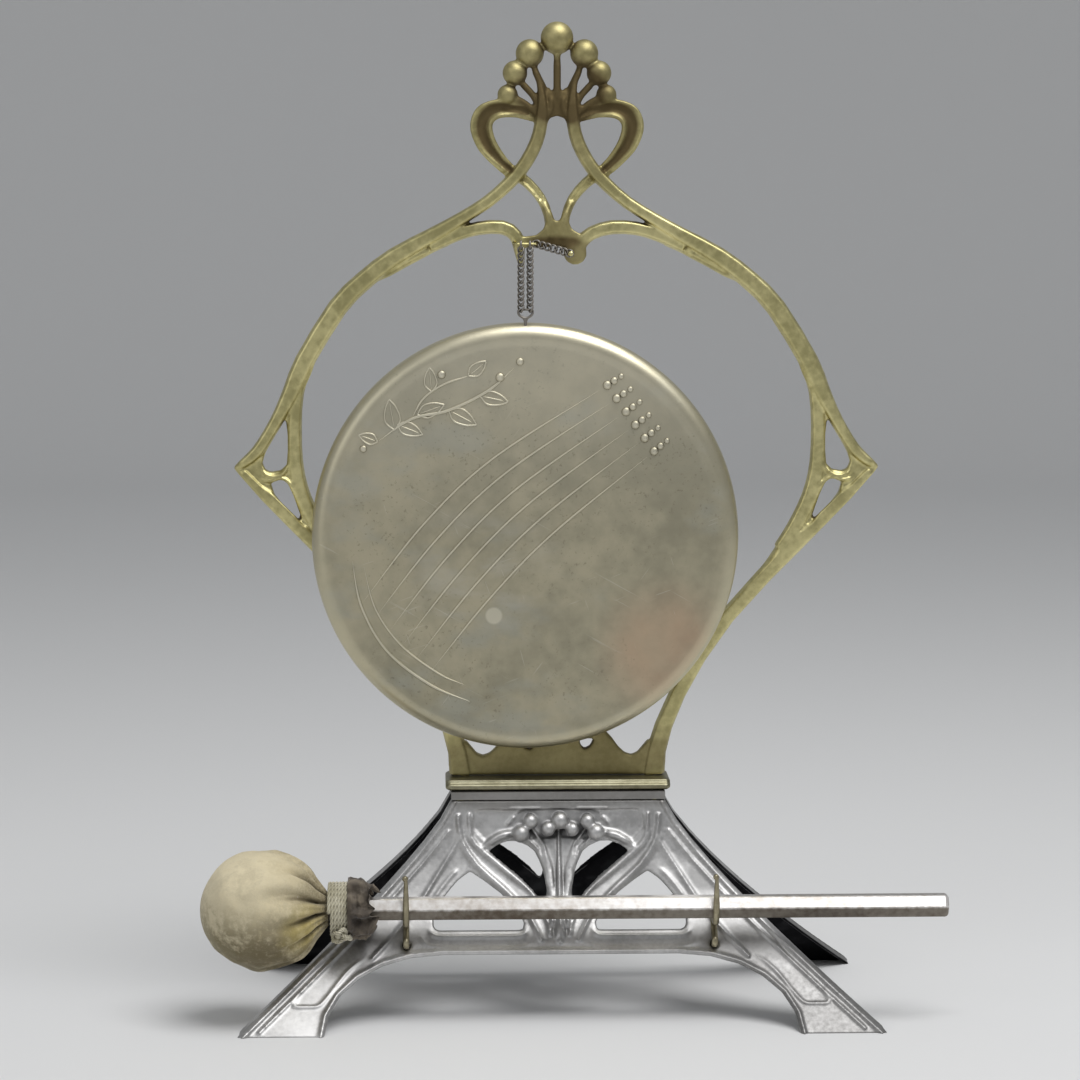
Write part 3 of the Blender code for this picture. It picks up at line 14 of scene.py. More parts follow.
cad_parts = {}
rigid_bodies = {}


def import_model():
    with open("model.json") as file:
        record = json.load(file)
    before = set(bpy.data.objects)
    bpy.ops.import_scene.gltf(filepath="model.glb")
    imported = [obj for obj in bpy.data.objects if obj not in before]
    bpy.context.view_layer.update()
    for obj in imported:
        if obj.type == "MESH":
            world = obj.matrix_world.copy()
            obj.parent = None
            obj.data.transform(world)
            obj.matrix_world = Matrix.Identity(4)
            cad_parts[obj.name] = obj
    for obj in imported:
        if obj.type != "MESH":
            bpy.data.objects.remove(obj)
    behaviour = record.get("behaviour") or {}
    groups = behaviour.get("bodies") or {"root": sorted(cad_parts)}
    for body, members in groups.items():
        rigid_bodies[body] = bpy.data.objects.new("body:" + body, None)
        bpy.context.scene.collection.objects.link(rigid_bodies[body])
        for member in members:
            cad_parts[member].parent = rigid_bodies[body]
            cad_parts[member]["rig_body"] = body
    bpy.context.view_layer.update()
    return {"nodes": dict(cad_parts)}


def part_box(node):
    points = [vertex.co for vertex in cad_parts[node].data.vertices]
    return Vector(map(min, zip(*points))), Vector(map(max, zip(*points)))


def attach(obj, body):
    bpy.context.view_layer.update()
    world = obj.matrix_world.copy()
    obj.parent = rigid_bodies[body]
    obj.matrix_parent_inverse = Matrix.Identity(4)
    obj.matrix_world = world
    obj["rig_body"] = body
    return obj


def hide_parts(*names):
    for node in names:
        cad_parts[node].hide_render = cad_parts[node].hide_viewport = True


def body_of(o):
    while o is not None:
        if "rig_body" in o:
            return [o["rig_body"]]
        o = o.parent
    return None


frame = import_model()
MM = 0.001


# Base panels: two silvered castings, one turned half round behind the other, leaning together.
# Each is pierced and cast in low relief: edge beads, straps, berries on stems. They are plated,
# rubbed bright on what stands proud, and darker in every hollow with tarnish and painted shade.

class Value:
    """One socket in plain maths: an expression on it adds the Math nodes that it needs."""

    def __init__(self, tree, socket):
        self.tree, self.socket = tree, socket

    def math(self, operation, *terms):
        made = self.tree.nodes.new("ShaderNodeMath")
        made.operation = operation
        for slot, term in zip(made.inputs, terms):
            if isinstance(term, Value):
                self.tree.links.new(term.socket, slot)
            else:
                slot.default_value = term
        return Value(self.tree, made.outputs[0])

    def __add__(self, other):
        return self.math('ADD', self, other)

    def __sub__(self, other):
        return self.math('SUBTRACT', self, other)

    def __rsub__(self, other):
        return self.math('SUBTRACT', other, self)

    def __mul__(self, other):
        return self.math('MULTIPLY', self, other)

    def __truediv__(self, other):
        return self.math('DIVIDE', self, other)

    def __pow__(self, other):
        return self.math('POWER', self, other)

    __radd__, __rmul__ = __add__, __mul__

    def held(self):
        """The value kept between 0 and 1."""
        made = self.math('MULTIPLY', self, 1.0)
        made.socket.node.use_clamp = True
        return made

    def step(self, low, high):
        """A smooth 0 to 1 as the value goes from low to high."""
        made = self.tree.nodes.new("ShaderNodeMapRange")
        made.interpolation_type = 'SMOOTHSTEP'
        self.tree.links.new(self.socket, made.inputs["Value"])
        made.inputs["From Min"].default_value = low
        made.inputs["From Max"].default_value = high
        return Value(self.tree, made.outputs[0])


class Finish:
    """A material under construction, with constants set on the shader's own sockets."""

    def __init__(self, name, **constants):
        self.material = bpy.data.materials.new(name)
        self.material.use_nodes = True
        self.tree = self.material.node_tree
        self.shader = self.tree.nodes["Principled BSDF"]
        for socket, value in constants.items():
            self.shader.inputs[socket.replace("_", " ").title().replace("Ior", "IOR")].default_value = value
        self.place = self.node("ShaderNodeTexCoord", out="Object")

    def node(self, kind, settings=None, sockets=None, out=0):
        """Any node: its settings first, then its sockets' values or links."""
        made = self.tree.nodes.new(kind)
        for name, value in (settings or {}).items():
            setattr(made, name, value)
        for slot, value in (sockets or {}).items():
            if isinstance(value, Value):
                self.tree.links.new(value.socket, made.inputs[slot])
            else:
                made.inputs[slot].default_value = value
        return Value(self.tree, made.outputs[out])

    def cloud(self, scale, detail=3.0, rough=0.55, stretch=(1, 1, 1), turn=0.0):
        """Soft noise, with so many blotches to the metre, turned about the front-to-back line."""
        placed = self.node("ShaderNodeMapping", {"vector_type": 'TEXTURE'}, {
            "Vector": self.place, "Rotation": (0, turn, 0), "Scale": tuple(1 / s for s in stretch)})
        return self.node("ShaderNodeTexNoise", None, {
            "Vector": placed, "Scale": scale, "Detail": detail, "Roughness": rough})

    def vector(self, operation, first, second=(0, 0, 0), out="Value"):
        """A vector operation's result."""
        return self.node("ShaderNodeVectorMath", {"operation": operation}, {0: first, 1: second}, out)

    def painted(self, name):
        """A value that the mesh's vertices carry."""
        return self.node("ShaderNodeAttribute", {"attribute_name": name}, out="Fac")

    def hollow(self, reach, local=True):
        """1 in the open and less in hollows, within a reach in metres."""
        return self.node("ShaderNodeAmbientOcclusion", {"samples": 12, "only_local": local},
                         {"Distance": reach}, out="AO")

    def mix(self, share, low, high):
        """One colour where the share is 0 and the other where it is 1."""
        colours = {0: share}
        for slot, colour in ((6, low), (7, high)):
            colours[slot] = colour if isinstance(colour, Value) else (*colour, 1.0)
        return self.node("ShaderNodeMix", {"data_type": 'RGBA'}, colours, out=2)

    def feed(self, **values):
        """Links varying inputs of the shader."""
        for socket, value in values.items():
            self.tree.links.new(value.socket, self.shader.inputs[socket.replace("_", " ").title()])

    def bump(self, height, depth, strength=0.5):
        """Feeds the normal from a height that spans so many metres."""
        self.feed(normal=self.node("ShaderNodeBump", None, {
            "Height": height, "Distance": depth, "Strength": strength}))


def dress(name, finish):
    """Gives a CAD node its finish."""
    node = frame["nodes"][name]
    node.data.materials.clear()
    node.data.materials.append(finish.material)
    for face in node.data.polygons:
        face.material_index = 0


# Worn satin silver: paler in the open and darker in hollows, with tarnish and painted shade there,
# painted shadow along the top under the foot bar, dull and specked on the right feet, and painted
# near-black inside as shade.
panel_silver = Finish("panel_silver", metallic=1.0)
blotch, grain = panel_silver.cloud(55, 4), panel_silver.cloud(700, 3)
tone = panel_silver.mix((blotch * 0.7 + grain * 0.3).step(0.36, 0.66),
                        (0.42, 0.415, 0.41), (0.62, 0.615, 0.61))
# Darker in hollows: tarnish, and painted shade where the relief shades itself.
hollow_tarnish_and_shade = (1 - (panel_silver.hollow(0.0032) + (blotch - 0.5) * 0.2).step(0.25, 0.92)).held()
tone = panel_silver.mix(hollow_tarnish_and_shade * 0.85, tone, (0.06, 0.058, 0.058))
height = panel_silver.vector('DOT_PRODUCT', panel_silver.place, (0, 0, 1 / MM))
across = panel_silver.vector('DOT_PRODUCT', panel_silver.place, (1 / MM, 0, 0))
# Painted shadow: the top of the panel, just under the foot bar, is darkened.
painted_bar_shadow = (height + (blotch - 0.5) * 12).step(69, 74) * 0.6
tone = panel_silver.mix(painted_bar_shadow, tone, (0.17, 0.158, 0.14))
worn_foot = (1 - (height + (blotch - 0.5) * 16).step(16, 36)) * across.step(34, 60)
tone = panel_silver.mix((worn_foot * (0.72 + (grain - 0.5) * 0.9)).held(), tone, (0.19, 0.185, 0.18))
# Painted shade: the faces turned into the base are painted near-black, mottled.
inside = panel_silver.painted("inside")
painted_inside_shade = panel_silver.mix(blotch.step(0.46, 0.68), (0.018, 0.018, 0.02), (0.07, 0.07, 0.074))
panel_silver.feed(base_color=panel_silver.mix(inside, tone, painted_inside_shade),
                  roughness=(0.43 + hollow_tarnish_and_shade * 0.2 + grain * 0.12 + inside * 0.25).held())
panel_silver.bump(grain * 0.6 + panel_silver.cloud(240, 2), 0.00011, 0.35)


def curve_through(points, steps):
    """Points on a smooth curve through the given ones."""
    last = len(points) - 1
    path = []
    for i in range(last):
        four = [points[max(i - 1, 0)], points[i], points[i + 1], points[min(i + 2, last)]]
        for k in range(steps):
            t = k / steps
            path.append(tuple(
                0.5 * (2 * b + (c - a) * t + (2 * a - 5 * b + 4 * c - d) * t ** 2
                       + (3 * b - a - 3 * c + d) * t ** 3) for a, b, c, d in zip(*four)))
    path.append(tuple(points[last]))
    return path


def join(bm, rows, closed=True):
    """Joins rows of vertices with quads, each row running back to its start where it is closed."""
    for row, following in zip(rows, rows[1:]):
        for k in range(len(row) if closed else len(row) - 1):
            n = (k + 1) % len(row)
            bm.faces.new((row[k], row[n], following[n], following[k]))


def heading(path, i):
    """The direction of a path at one of its points."""
    return (path[min(i + 1, len(path) - 1)] - path[max(i - 1, 0)]).normalized()


def rod(bm, path, normal, width, rise):
    """Adds a closed rod half sunk in a surface along a path, thinning to its two ends."""
    last = len(path) - 1
    turns = [2 * math.pi * k / 10 for k in range(10)]
    rings = []
    for i, point in enumerate(path):
        side = heading(path, i).cross(normal).normalized()
        share = min(1.0, 2.8 * min(i, last - i) / len(path) + 0.3)
        sunk = point - normal * rise * (1 - share)
        rings.append([bm.verts.new(sunk + side * (math.cos(turn) * width / 2 * share)
                                   + normal * (math.sin(turn) * rise * share)) for turn in turns])
    join(bm, rings)
    bm.faces.new(rings[0][::-1])
    bm.faces.new(rings[-1])


def ball(bm, centre, radius):
    """Adds a fine round ball."""
    bmesh.ops.create_uvsphere(bm, u_segments=40, v_segments=24, radius=radius,
                              matrix=Matrix.Translation(centre))


def skin_of(node):
    """A CAD node's surface as something that rays can meet."""
    mesh = frame["nodes"][node].data
    return BVHTree.FromPolygons([v.co for v in mesh.vertices], [f.vertices for f in mesh.polygons])


def relax(mesh, rounds):
    """Rounds a fine mesh like a fettled casting: each vertex moves half way to its neighbours."""
    count = len(mesh.vertices)
    places = numpy.empty(count * 3)
    mesh.vertices.foreach_get("co", places)
    places = places.reshape(-1, 3)
    ends = numpy.empty(len(mesh.edges) * 2, dtype=numpy.int32)
    mesh.edges.foreach_get("vertices", ends)
    ends = ends.reshape(-1, 2)
    first, second = numpy.concatenate((ends, ends[:, ::-1])).T
    neighbours = numpy.maximum(numpy.bincount(first, minlength=count), 1)
    for _ in range(rounds):
        for axis in range(3):
            total = numpy.bincount(first, places[second, axis], count)
            places[:, axis] += 0.5 * (total / neighbours - places[:, axis])
    mesh.vertices.foreach_set("co", places.ravel())


def casting(name, node, additions, facet=0.00042, rounds=5):
    """A CAD node's solid with more relief run into it as one casting, in fine even facets."""
    additions.from_mesh(frame["nodes"][node].data)
    whole = bpy.data.meshes.new(name)
    additions.to_mesh(whole)
    additions.free()
    made = bpy.data.objects.new(name, whole)
    bpy.context.scene.collection.objects.link(made)
    remesh = made.modifiers.new("even", 'REMESH')
    remesh.mode, remesh.voxel_size, remesh.use_smooth_shade = 'VOXEL', facet, True
    evaluated = made.evaluated_get(bpy.context.evaluated_depsgraph_get())
    fine = bpy.data.meshes.new_from_object(evaluated)
    made.modifiers.clear()
    made.data = fine
    relax(fine, rounds)
    fine.shade_smooth()
    return made


# Drawn relief of the panels' right half, as (x, height) runs in millimetres from the middle, with
# each run's width and rise: lips round the openings, straps, leaves, stems, a frame on each leg.
middle_x = sum(corner.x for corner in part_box("base_top_plate")) / 2
PANEL_LINES = [
    ([(46.4, 36.6), (46.3, 32.4), (45.0, 29.9), (41.8, 28.9), (28.0, 28.8), (15.0, 28.9), (12.2, 29.9),
      (11.2, 32.4), (11.6, 34.4)], 2.0, 0.95),
    ([(49.4, 35.6), (49.4, 30.8), (47.2, 26.8), (42.4, 25.7), (28.0, 25.6), (13.6, 25.7), (9.6, 27.4),
      (8.6, 30.4)], 1.1, 0.55),
    ([(36.6, 69.4), (35.8, 60.8), (29.6, 51.6), (19.4, 43.0), (11.6, 35.2)], 3.0, 1.1),
    ([(32.6, 69.6), (31.8, 61.4), (26.8, 55.6), (15.2, 46.8), (7.6, 38.2)], 2.4, 1.5),
    ([(33.8, 51.8), (37.8, 48.4), (42.4, 43.2), (46.4, 37.4)], 1.7, 0.9),
    ([(26.6, 57.6), (20.8, 61.2), (15.4, 62.2)], 2.6, 1.4),
    ([(14.6, 68.6), (16.8, 66.8), (19.4, 63.6)], 1.5, 1.4),
    ([(11.4, 70.4), (14.0, 70.0), (16.0, 68.4)], 1.1, 1.0),
    ([(10.0, 62.8), (6.4, 58.0), (4.2, 51.6), (2.9, 44.0), (2.6, 36.0), (3.6, 30.6), (7.2, 25.2)], 1.7, 1.7),
    ([(9.4, 58.0), (6.6, 53.6), (4.6, 47.6), (3.9, 41.0)], 1.2, 1.3),
    ([(0.0, 64.0), (0.0, 52.0), (0.0, 42.0), (0.2, 33.0), (1.2, 28.4), (2.9, 25.2)], 1.7, 1.7),
    ([(23.0, 70.9), (27.8, 70.7), (30.2, 69.0), (30.9, 65.0)], 0.9, 0.8),
    ([(23.0, 70.9), (12.0, 71.0), (0.0, 71.0)], 0.9, 0.8),
    ([(58.6, 25.0), (64.2, 23.9), (69.8, 21.9), (74.7, 18.3), (78.6, 14.1), (81.7, 10.7), (84.4, 8.7),
      (88.6, 8.5), (92.6, 8.8), (91.4, 11.0), (88.1, 14.1), (80.3, 20.6)], 1.6, 0.95),
]
PANEL_BERRIES = [(0.4, 67.2, 3.1), (4.8, 64.0, 2.5), (-3.8, 64.2, 2.6), (10.2, 66.8, 2.7),
                 (13.2, 63.0, 3.1), (-10.0, 66.8, 2.7), (-13.4, 62.6, 3.1)]
LINE_SUNK, BERRY_SUNK = 0.35, 0.2
panel_skin = skin_of("base_front_panel")


def on_panel(x, z):
    """The place and the normal on the front panel's face, from millimetres right of its middle."""
    return panel_skin.ray_cast(Vector((middle_x + x * MM, -0.2, z * MM)), Vector((0, 1, 0)))[:2]


panel_relief = bmesh.new()
for drawn, width, rise in PANEL_LINES:
    for side in (1, -1):
        met = [on_panel(side * x, z) for x, z in curve_through(drawn, 5)]
        met = [(place, normal) for place, normal in met if place]
        even = Vector((0, -1, sum(normal.z for _, normal in met) / len(met))).normalized()
        level = [place - even * (rise * MM * LINE_SUNK) for place, _ in met]
        rod(panel_relief, level, even, width * MM, rise * MM)
for x, z, radius in PANEL_BERRIES:
    place = on_panel(x, z)[0]
    ball(panel_relief, Vector((middle_x + x * MM, place.y + BERRY_SUNK * radius * MM, z * MM)), radius * MM)
front_panel = casting("front_panel_casting", "base_front_panel", panel_relief)
# What faces back into the base is marked as its inside, which the silver paints near-black as shade.
normals = numpy.empty(len(front_panel.data.vertices) * 3)
front_panel.data.vertices.foreach_get("normal", normals)
facing_in = numpy.clip((normals[1::3] - 0.1) / 0.4, 0, 1)
front_panel.data.attributes.new("inside", 'FLOAT', 'POINT').data.foreach_set("value", facing_in)
back_panel = bpy.data.objects.new("back_panel_casting", front_panel.data.copy())
bpy.context.scene.collection.objects.link(back_panel)
turn_round = Matrix.Translation((middle_x, 0, 0)) @ Matrix.Rotation(math.pi, 4, 'Z')
back_panel.data.transform(turn_round @ Matrix.Translation((-middle_x, 0, 0)))
for panel, node in ((front_panel, "base_front_panel"), (back_panel, "base_back_panel")):
    panel.data.materials.append(panel_silver.material)
    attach(panel, "stand")
    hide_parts(node)


# Top plate: a flat silvered plate that closes the base. Two screws come up through it into the
# hoop's foot, and four flat-headed ones hold the panels' lugs under it.
dress("base_top_plate", panel_silver)


# Moulded bar and screws: cast and turned brass, once polished, now olive brown with a darker skin
# in the grooves and a warm shine along the ridges that hands and cloths reach.
def aged_brass(name, bright, body_tone, dark, reach, browned_and_shaded=()):
    """Brass with brown in its grooves, rubbed ridges, soft blotches, and listed places darkened wholly, some
    as tarnish and some as painted shade.
    """
    made = Finish(name, metallic=1.0)
    blotch, fine = made.cloud(45, 4), made.cloud(420, 4)
    tone = made.mix((blotch * 0.6 + fine * 0.4).step(0.38, 0.64), body_tone, bright)
    brown_and_shade = 1 - (made.hollow(reach) + (fine - 0.5) * 0.3).step(0.25, 0.92)
    for place, size, share in browned_and_shaded:
        moved = made.vector('SUBTRACT', made.place, place, "Vector")
        away = made.vector('LENGTH', made.vector('DIVIDE', moved, size, "Vector"))
        brown_and_shade = brown_and_shade + (1 - (away + (blotch - 0.5) * 0.8).step(0.7, 1.15)) * share
    brown_and_shade = (brown_and_shade + made.painted("groove") * 0.8).held()
    made.feed(base_color=made.mix(brown_and_shade * 0.92, tone, dark),
              roughness=(0.32 + brown_and_shade * 0.28 + fine * 0.18).held())
    made.bump(made.cloud(1100, 3) * 0.4 + made.cloud(190, 3), 0.00016, 0.4)
    return made


BRIGHT_BRASS, BODY_BRASS, BROWN_BRASS = (0.72, 0.655, 0.335), (0.47, 0.425, 0.20), (0.13, 0.092, 0.045)
turned_brass = aged_brass("turned_brass", BRIGHT_BRASS, BODY_BRASS, BROWN_BRASS, 0.003)
for name in frame["nodes"]:
    if "_screw_" in name:
        dress(name, turned_brass)
bar = casting("foot_bar_moulding", "foot_bar", bmesh.new(), 0.0003, 6)
bar_brass = aged_brass("bar_brass", (0.36, 0.34, 0.235), (0.21, 0.195, 0.125), (0.06, 0.047, 0.026), 0.003)
bar.data.materials.append(bar_brass.material)
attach(bar, "stand")
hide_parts("foot_bar")


# Hoop: one brass casting, filed smooth on its faces, with round balls at the crown and lips round
# the pierced side points. It stands on the bar.
bar_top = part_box("foot_bar")[1].z
CROWN_BALLS = [(0.0, 263.4, 5.8), (9.6, 258.0, 5.0), (-9.6, 258.0, 5.0), (14.8, 251.1, 4.4),
               (-14.8, 251.1, 4.4), (17.4, 243.4, 3.65), (-17.4, 243.4, 3.65)]
hoop_rise = (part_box("gong_frame")[1].z - CROWN_BALLS[0][2] * MM - bar_top) / CROWN_BALLS[0][1]
hoop_relief = bmesh.new()
for x, z, radius in CROWN_BALLS:
    ball(hoop_relief, Vector((middle_x + x * MM, 0.0, bar_top + z * hoop_rise)), radius * MM)

# Rods run into the hoop's face, right half: (x, height above the bar) in millimetres, then width,
# rise and how far in front of the hoop's middle each lies. Stems, loop rims, lips, joined strands.
HOOP_RODS = [
    ([(9.2, 256.0), (7.6, 251.4), (5.6, 246.4), (4.6, 240.0), (5.0, 234.0)], 2.5, 1.5, 1.2),
    ([(14.0, 250.2), (11.4, 246.6), (8.4, 243.0), (6.2, 238.4), (5.8, 233.6)], 2.5, 1.4, 0.8),
    ([(16.6, 242.6), (13.0, 241.4), (9.4, 238.8), (6.8, 235.0)], 2.4, 1.4, 0.6),
    ([(0.0, 260.0), (0.0, 252.0), (0.0, 244.0), (0.0, 238.6)], 2.9, 1.5, 1.3),
    ([(3.0, 246.0), (2.2, 242.0), (2.4, 238.0), (4.2, 234.4), (5.6, 228.0)], 2.6, 1.6, 1.6),
    ([(8.0, 238.2), (14.0, 240.9), (21.0, 241.2), (27.6, 238.6), (30.0, 232.4), (27.8, 225.4),
      (23.0, 219.4), (17.8, 214.6)], 1.5, 1.2, 1.0),
    ([(8.2, 234.0), (15.0, 235.9), (20.4, 235.9), (23.2, 233.8), (23.4, 230.4), (21.6, 225.6),
      (18.2, 221.0), (14.4, 217.4)], 1.8, 1.2, 1.0),
    ([(5.2, 206.0), (3.2, 201.6), (2.0, 197.0), (2.1, 193.0), (3.6, 189.6)], 3.0, 1.4, 1.9),
    ([(104.8, 112.8), (104.0, 109.7), (101.6, 108.3), (98.4, 108.6), (95.9, 110.6),
      (94.8, 114.2)], 1.2, 1.0, 2.5),
    ([(107.4, 109.4), (104.6, 107.2), (101.2, 106.7), (98.0, 107.6), (95.2, 106.2), (92.9, 101.6),
      (90.8, 95.4)], 1.3, 1.0, 2.5),
    ([(105.4, 106.0), (99.6, 100.2), (94.2, 94.8), (90.4, 91.0)], 1.1, 1.0, 2.6),
    ([(84.6, 153.0), (87.6, 146.6), (90.4, 140.4), (93.2, 135.0), (96.2, 129.4)], 2.8, 1.3, 2.1),
    ([(38.0, 190.8), (45.3, 188.5), (50.5, 186.0), (56.0, 183.0), (62.0, 179.6),
      (68.0, 176.0)], 3.6, 3.1, 0.0),
    ([(85.2, 92.0), (82.6, 86.8), (79.9, 82.3), (76.6, 77.2), (72.6, 72.0), (68.6, 67.6)], 3.4, 3.2, 0.0),
    ([(91.4, 94.0), (88.6, 89.6), (86.0, 85.8), (83.0, 81.6)], 3.0, 3.1, 0.0),
]
facing = Vector((0, -1, 0))
for drawn, width, rise, proud in HOOP_RODS:
    for side in (1, -1):
        path = [Vector((middle_x + side * x * MM, -proud * MM, bar_top + z * hoop_rise))
                for x, z in curve_through(drawn, 5)]
        rod(hoop_relief, path, facing, width * MM, rise * MM)
hoop = casting("gong_frame_casting", "gong_frame", hoop_relief)
# The two loops beside the crown are channelled: brown lies in the channel, between paler edges.
LOOP = [(11.0, 237.6, 4.4), (15.6, 238.4, 4.4), (20.6, 238.8, 5.4), (24.9, 236.8, 7.0), (26.7, 232.2, 7.2),
        (24.9, 226.2, 6.2), (20.8, 220.8, 4.9), (16.4, 216.8, 4.1)]
spots = numpy.empty(len(hoop.data.vertices) * 3)
hoop.data.vertices.foreach_get("co", spots)
spots = spots.reshape(-1, 3)
browning = numpy.zeros(len(spots))
for x, z, width in curve_through(LOOP, 6):
    away = numpy.hypot(abs(spots[:, 0] - middle_x) / MM - x, (spots[:, 2] - bar_top) / hoop_rise - z)
    share = 1 - numpy.clip((away / (width / 2) - 0.35) / 0.4, 0, 1)
    browning = numpy.maximum(browning, share * (spots[:, 1] < 0))
hoop.data.attributes.new("groove", 'FLOAT', 'POINT').data.foreach_set("value", browning)
hoop_brass = aged_brass("hoop_brass", BRIGHT_BRASS, BODY_BRASS, BROWN_BRASS, 0.004, [
    ((middle_x, 0, bar_top + 245.0 * hoop_rise), (0.0165, 0.02, 0.0125), 0.85),
    ((middle_x, 0, bar_top + 246.0 * hoop_rise), (0.034, 0.03, 0.031), 0.42),
    ((middle_x, 0, bar_top + 197.0 * hoop_rise), (0.012, 0.02, 0.010), 0.45),
    ((middle_x + 0.003, 0, bar_top + 188.0 * hoop_rise), (0.018, 0.02, 0.0055), 0.6),
    # Painted shadow: the web just above the bar, darkened as if shaded by the gong.
    ((middle_x, 0, bar_top + 7.0 * hoop_rise), (0.05, 0.02, 0.0155), 0.62),
])
hoop.data.materials.append(hoop_brass.material)
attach(hoop, "stand")
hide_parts("gong_frame")


# Chain: curb links of dulled steel wire, a short stretch between the hanger and the peg and two
# hanging stretches. The hanger and the peg are brass wire set into the casting.
dull_wire = Finish("dull_wire", metallic=1.0)
# Darker where the links lie close to each other and to other parts: grime, and painted shade between the
# links.
grime_and_shade = 1 - dull_wire.hollow(0.0012, local=False).step(0.3, 0.95)
dull_wire.feed(base_color=dull_wire.mix(grime_and_shade, (0.27, 0.25, 0.225), (0.03, 0.026, 0.022)),
               roughness=0.38 + dull_wire.cloud(1600, 3) * 0.2)
dull_wire.bump(dull_wire.cloud(2500, 2), 0.00005, 0.4)


def piece(name, bm, finish, body):
    """Makes a smooth object from a bmesh, gives it its finish and sets it on a body."""
    bmesh.ops.recalc_face_normals(bm, faces=bm.faces)
    mesh = bpy.data.meshes.new(name)
    bm.to_mesh(mesh)
    bm.free()
    mesh.shade_smooth()
    made = bpy.data.objects.new(name, mesh)
    bpy.context.scene.collection.objects.link(made)
    made.data.materials.append(finish.material)
    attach(made, body)
    return made


def rounded_wire(node, finish, fuller):
    """A wire piece of the CAD with its wire made round and a little fuller."""
    wire = bmesh.new()
    wire.from_mesh(frame["nodes"][node].data)
    bmesh.ops.remove_doubles(wire, verts=wire.verts, dist=0.000005)
    bmesh.ops.recalc_face_normals(wire, faces=wire.faces)
    wire.normal_update()
    pushed = [vert.co + vert.normal * fuller for vert in wire.verts]
    for vert, place in zip(wire.verts, pushed):
        vert.co = place
    made = piece(node + "_wire", wire, finish, body_of(frame["nodes"][node])[0])
    rounding = made.modifiers.new("rounding", 'SUBSURF')
    rounding.levels = rounding.render_levels = 1
    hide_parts(node)
    return made


for name in frame["nodes"]:
    if "_link_" in name or name == "gong_eye":
        rounded_wire(name, dull_wire, 0.00017)
for name in ("chain_hanger", "chain_peg"):
    dress(name, turned_brass)


# Gong: a shallow pan spun from brass sheet, its rim rolled, its face planished flat. It has a lighter
# worn dot near the middle where the mallet lands and a faint rosy painted reflection near the rim,
# and its face is painted paler towards the top as if lit from above.
gong_low, gong_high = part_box("gong_disc")
gong_x, gong_z = (gong_low.x + gong_high.x) / 2, (gong_low.z + gong_high.z) / 2
gong_radius = (gong_high.x - gong_low.x) / 2


def spun_brass(name):
    """Satin spun brass, mottled warm and cool, with worn places, a painted rosy reflection and painted light
    towards the top.
    """
    made = Finish(name, metallic=1.0)
    spot = made.node("ShaderNodeMapping", None, {
        "Vector": made.place, "Location": (-gong_x, 0, -gong_z)})
    parts = made.tree.nodes.new("ShaderNodeSeparateXYZ")
    made.tree.links.new(spot.socket, parts.inputs[0])
    x, y, z = (Value(made.tree, part) for part in parts.outputs)
    faced = 1 - ((y - gong_low.y) / MM).step(1.3, 1.7)

    def spot_mask(u, w, radius, soft):
        """1 within a round place on the face, fading over a share of its radius."""
        away = ((x - u * MM) ** 2.0 + (z - w * MM) ** 2.0) ** 0.5
        return 1 - (away / (radius * MM)).step(1 - soft, 1 + soft)

    broad, fine = made.cloud(22, 4), made.cloud(160, 5)
    mottle = broad * 0.65 + fine * 0.35
    speck = made.cloud(900, 3)
    tone = made.mix(mottle.step(0.36, 0.66), (0.36, 0.335, 0.245), (0.52, 0.475, 0.345))
    cool = made.cloud(34, 3, stretch=(1, 1, 1.7)).step(0.50, 0.70)
    tone = made.mix(cool * 0.55, tone, (0.42, 0.425, 0.37))
    # Painted light: the face is paler towards its top, as if lit from above.
    tone = made.mix((z / gong_radius).step(-0.1, 1.1) * 0.6, tone, (0.70, 0.66, 0.53))
    wiped = made.cloud(70, 5, stretch=(0.5, 1, 1.6)).step(0.45, 0.7)
    smear = (faced * spot_mask(-14, -14, 22, 0.7) * wiped).held()
    tone = made.mix(smear * 0.4, tone, (0.60, 0.58, 0.50))
    # Painted reflection: a faint rosy patch low on the right of the face.
    painted_rosy_reflection = (faced * spot_mask(50, -40, 19, 0.6) * (0.2 + made.cloud(60, 3))).held()
    tone = made.mix(painted_rosy_reflection * 0.65, tone, (0.62, 0.41, 0.28))
    dark_spots = speck.step(0.60, 0.72) * made.cloud(30, 2).step(0.4, 0.65)
    tone = made.mix(dark_spots * 0.45, tone, (0.19, 0.17, 0.12))
    dot = faced * spot_mask(-11.3, -27.6, 2.9, 0.16)
    tone = made.mix(dot * 0.8, tone, (0.72, 0.68, 0.54))
    rim = (((x ** 2.0 + z ** 2.0) ** 0.5) / gong_radius).step(0.90, 0.99)
    tone = made.mix(rim * 0.5, tone, (0.68, 0.63, 0.45))
    scratch = made.cloud(520, 2, stretch=(0.04, 1, 1.3), turn=0.5).step(0.66, 0.71)
    for turn, across, least in ((-0.35, 0.07, 0.68), (1.25, 0.09, 0.69), (2.2, 0.05, 0.70)):
        scratch = scratch + made.cloud(600, 2, stretch=(across, 1, 1.2), turn=turn).step(least, least + 0.04)
    scratch = (scratch * made.cloud(38, 2).step(0.48, 0.62)).held()
    tone = made.mix(scratch * 0.28, tone, (0.70, 0.67, 0.56))
    dim = (1 - made.hollow(0.003).step(0.45, 0.95)) * 0.7
    made.feed(base_color=made.mix(dim, tone, (0.11, 0.09, 0.05)),
              roughness=(0.42 + mottle * 0.16 - dot * 0.1 - rim * 0.08 - scratch * 0.1).held())
    made.bump(made.cloud(700, 4) * 0.35 + broad * 1.5 - scratch * 0.3, 0.0002, 0.3)
    return made


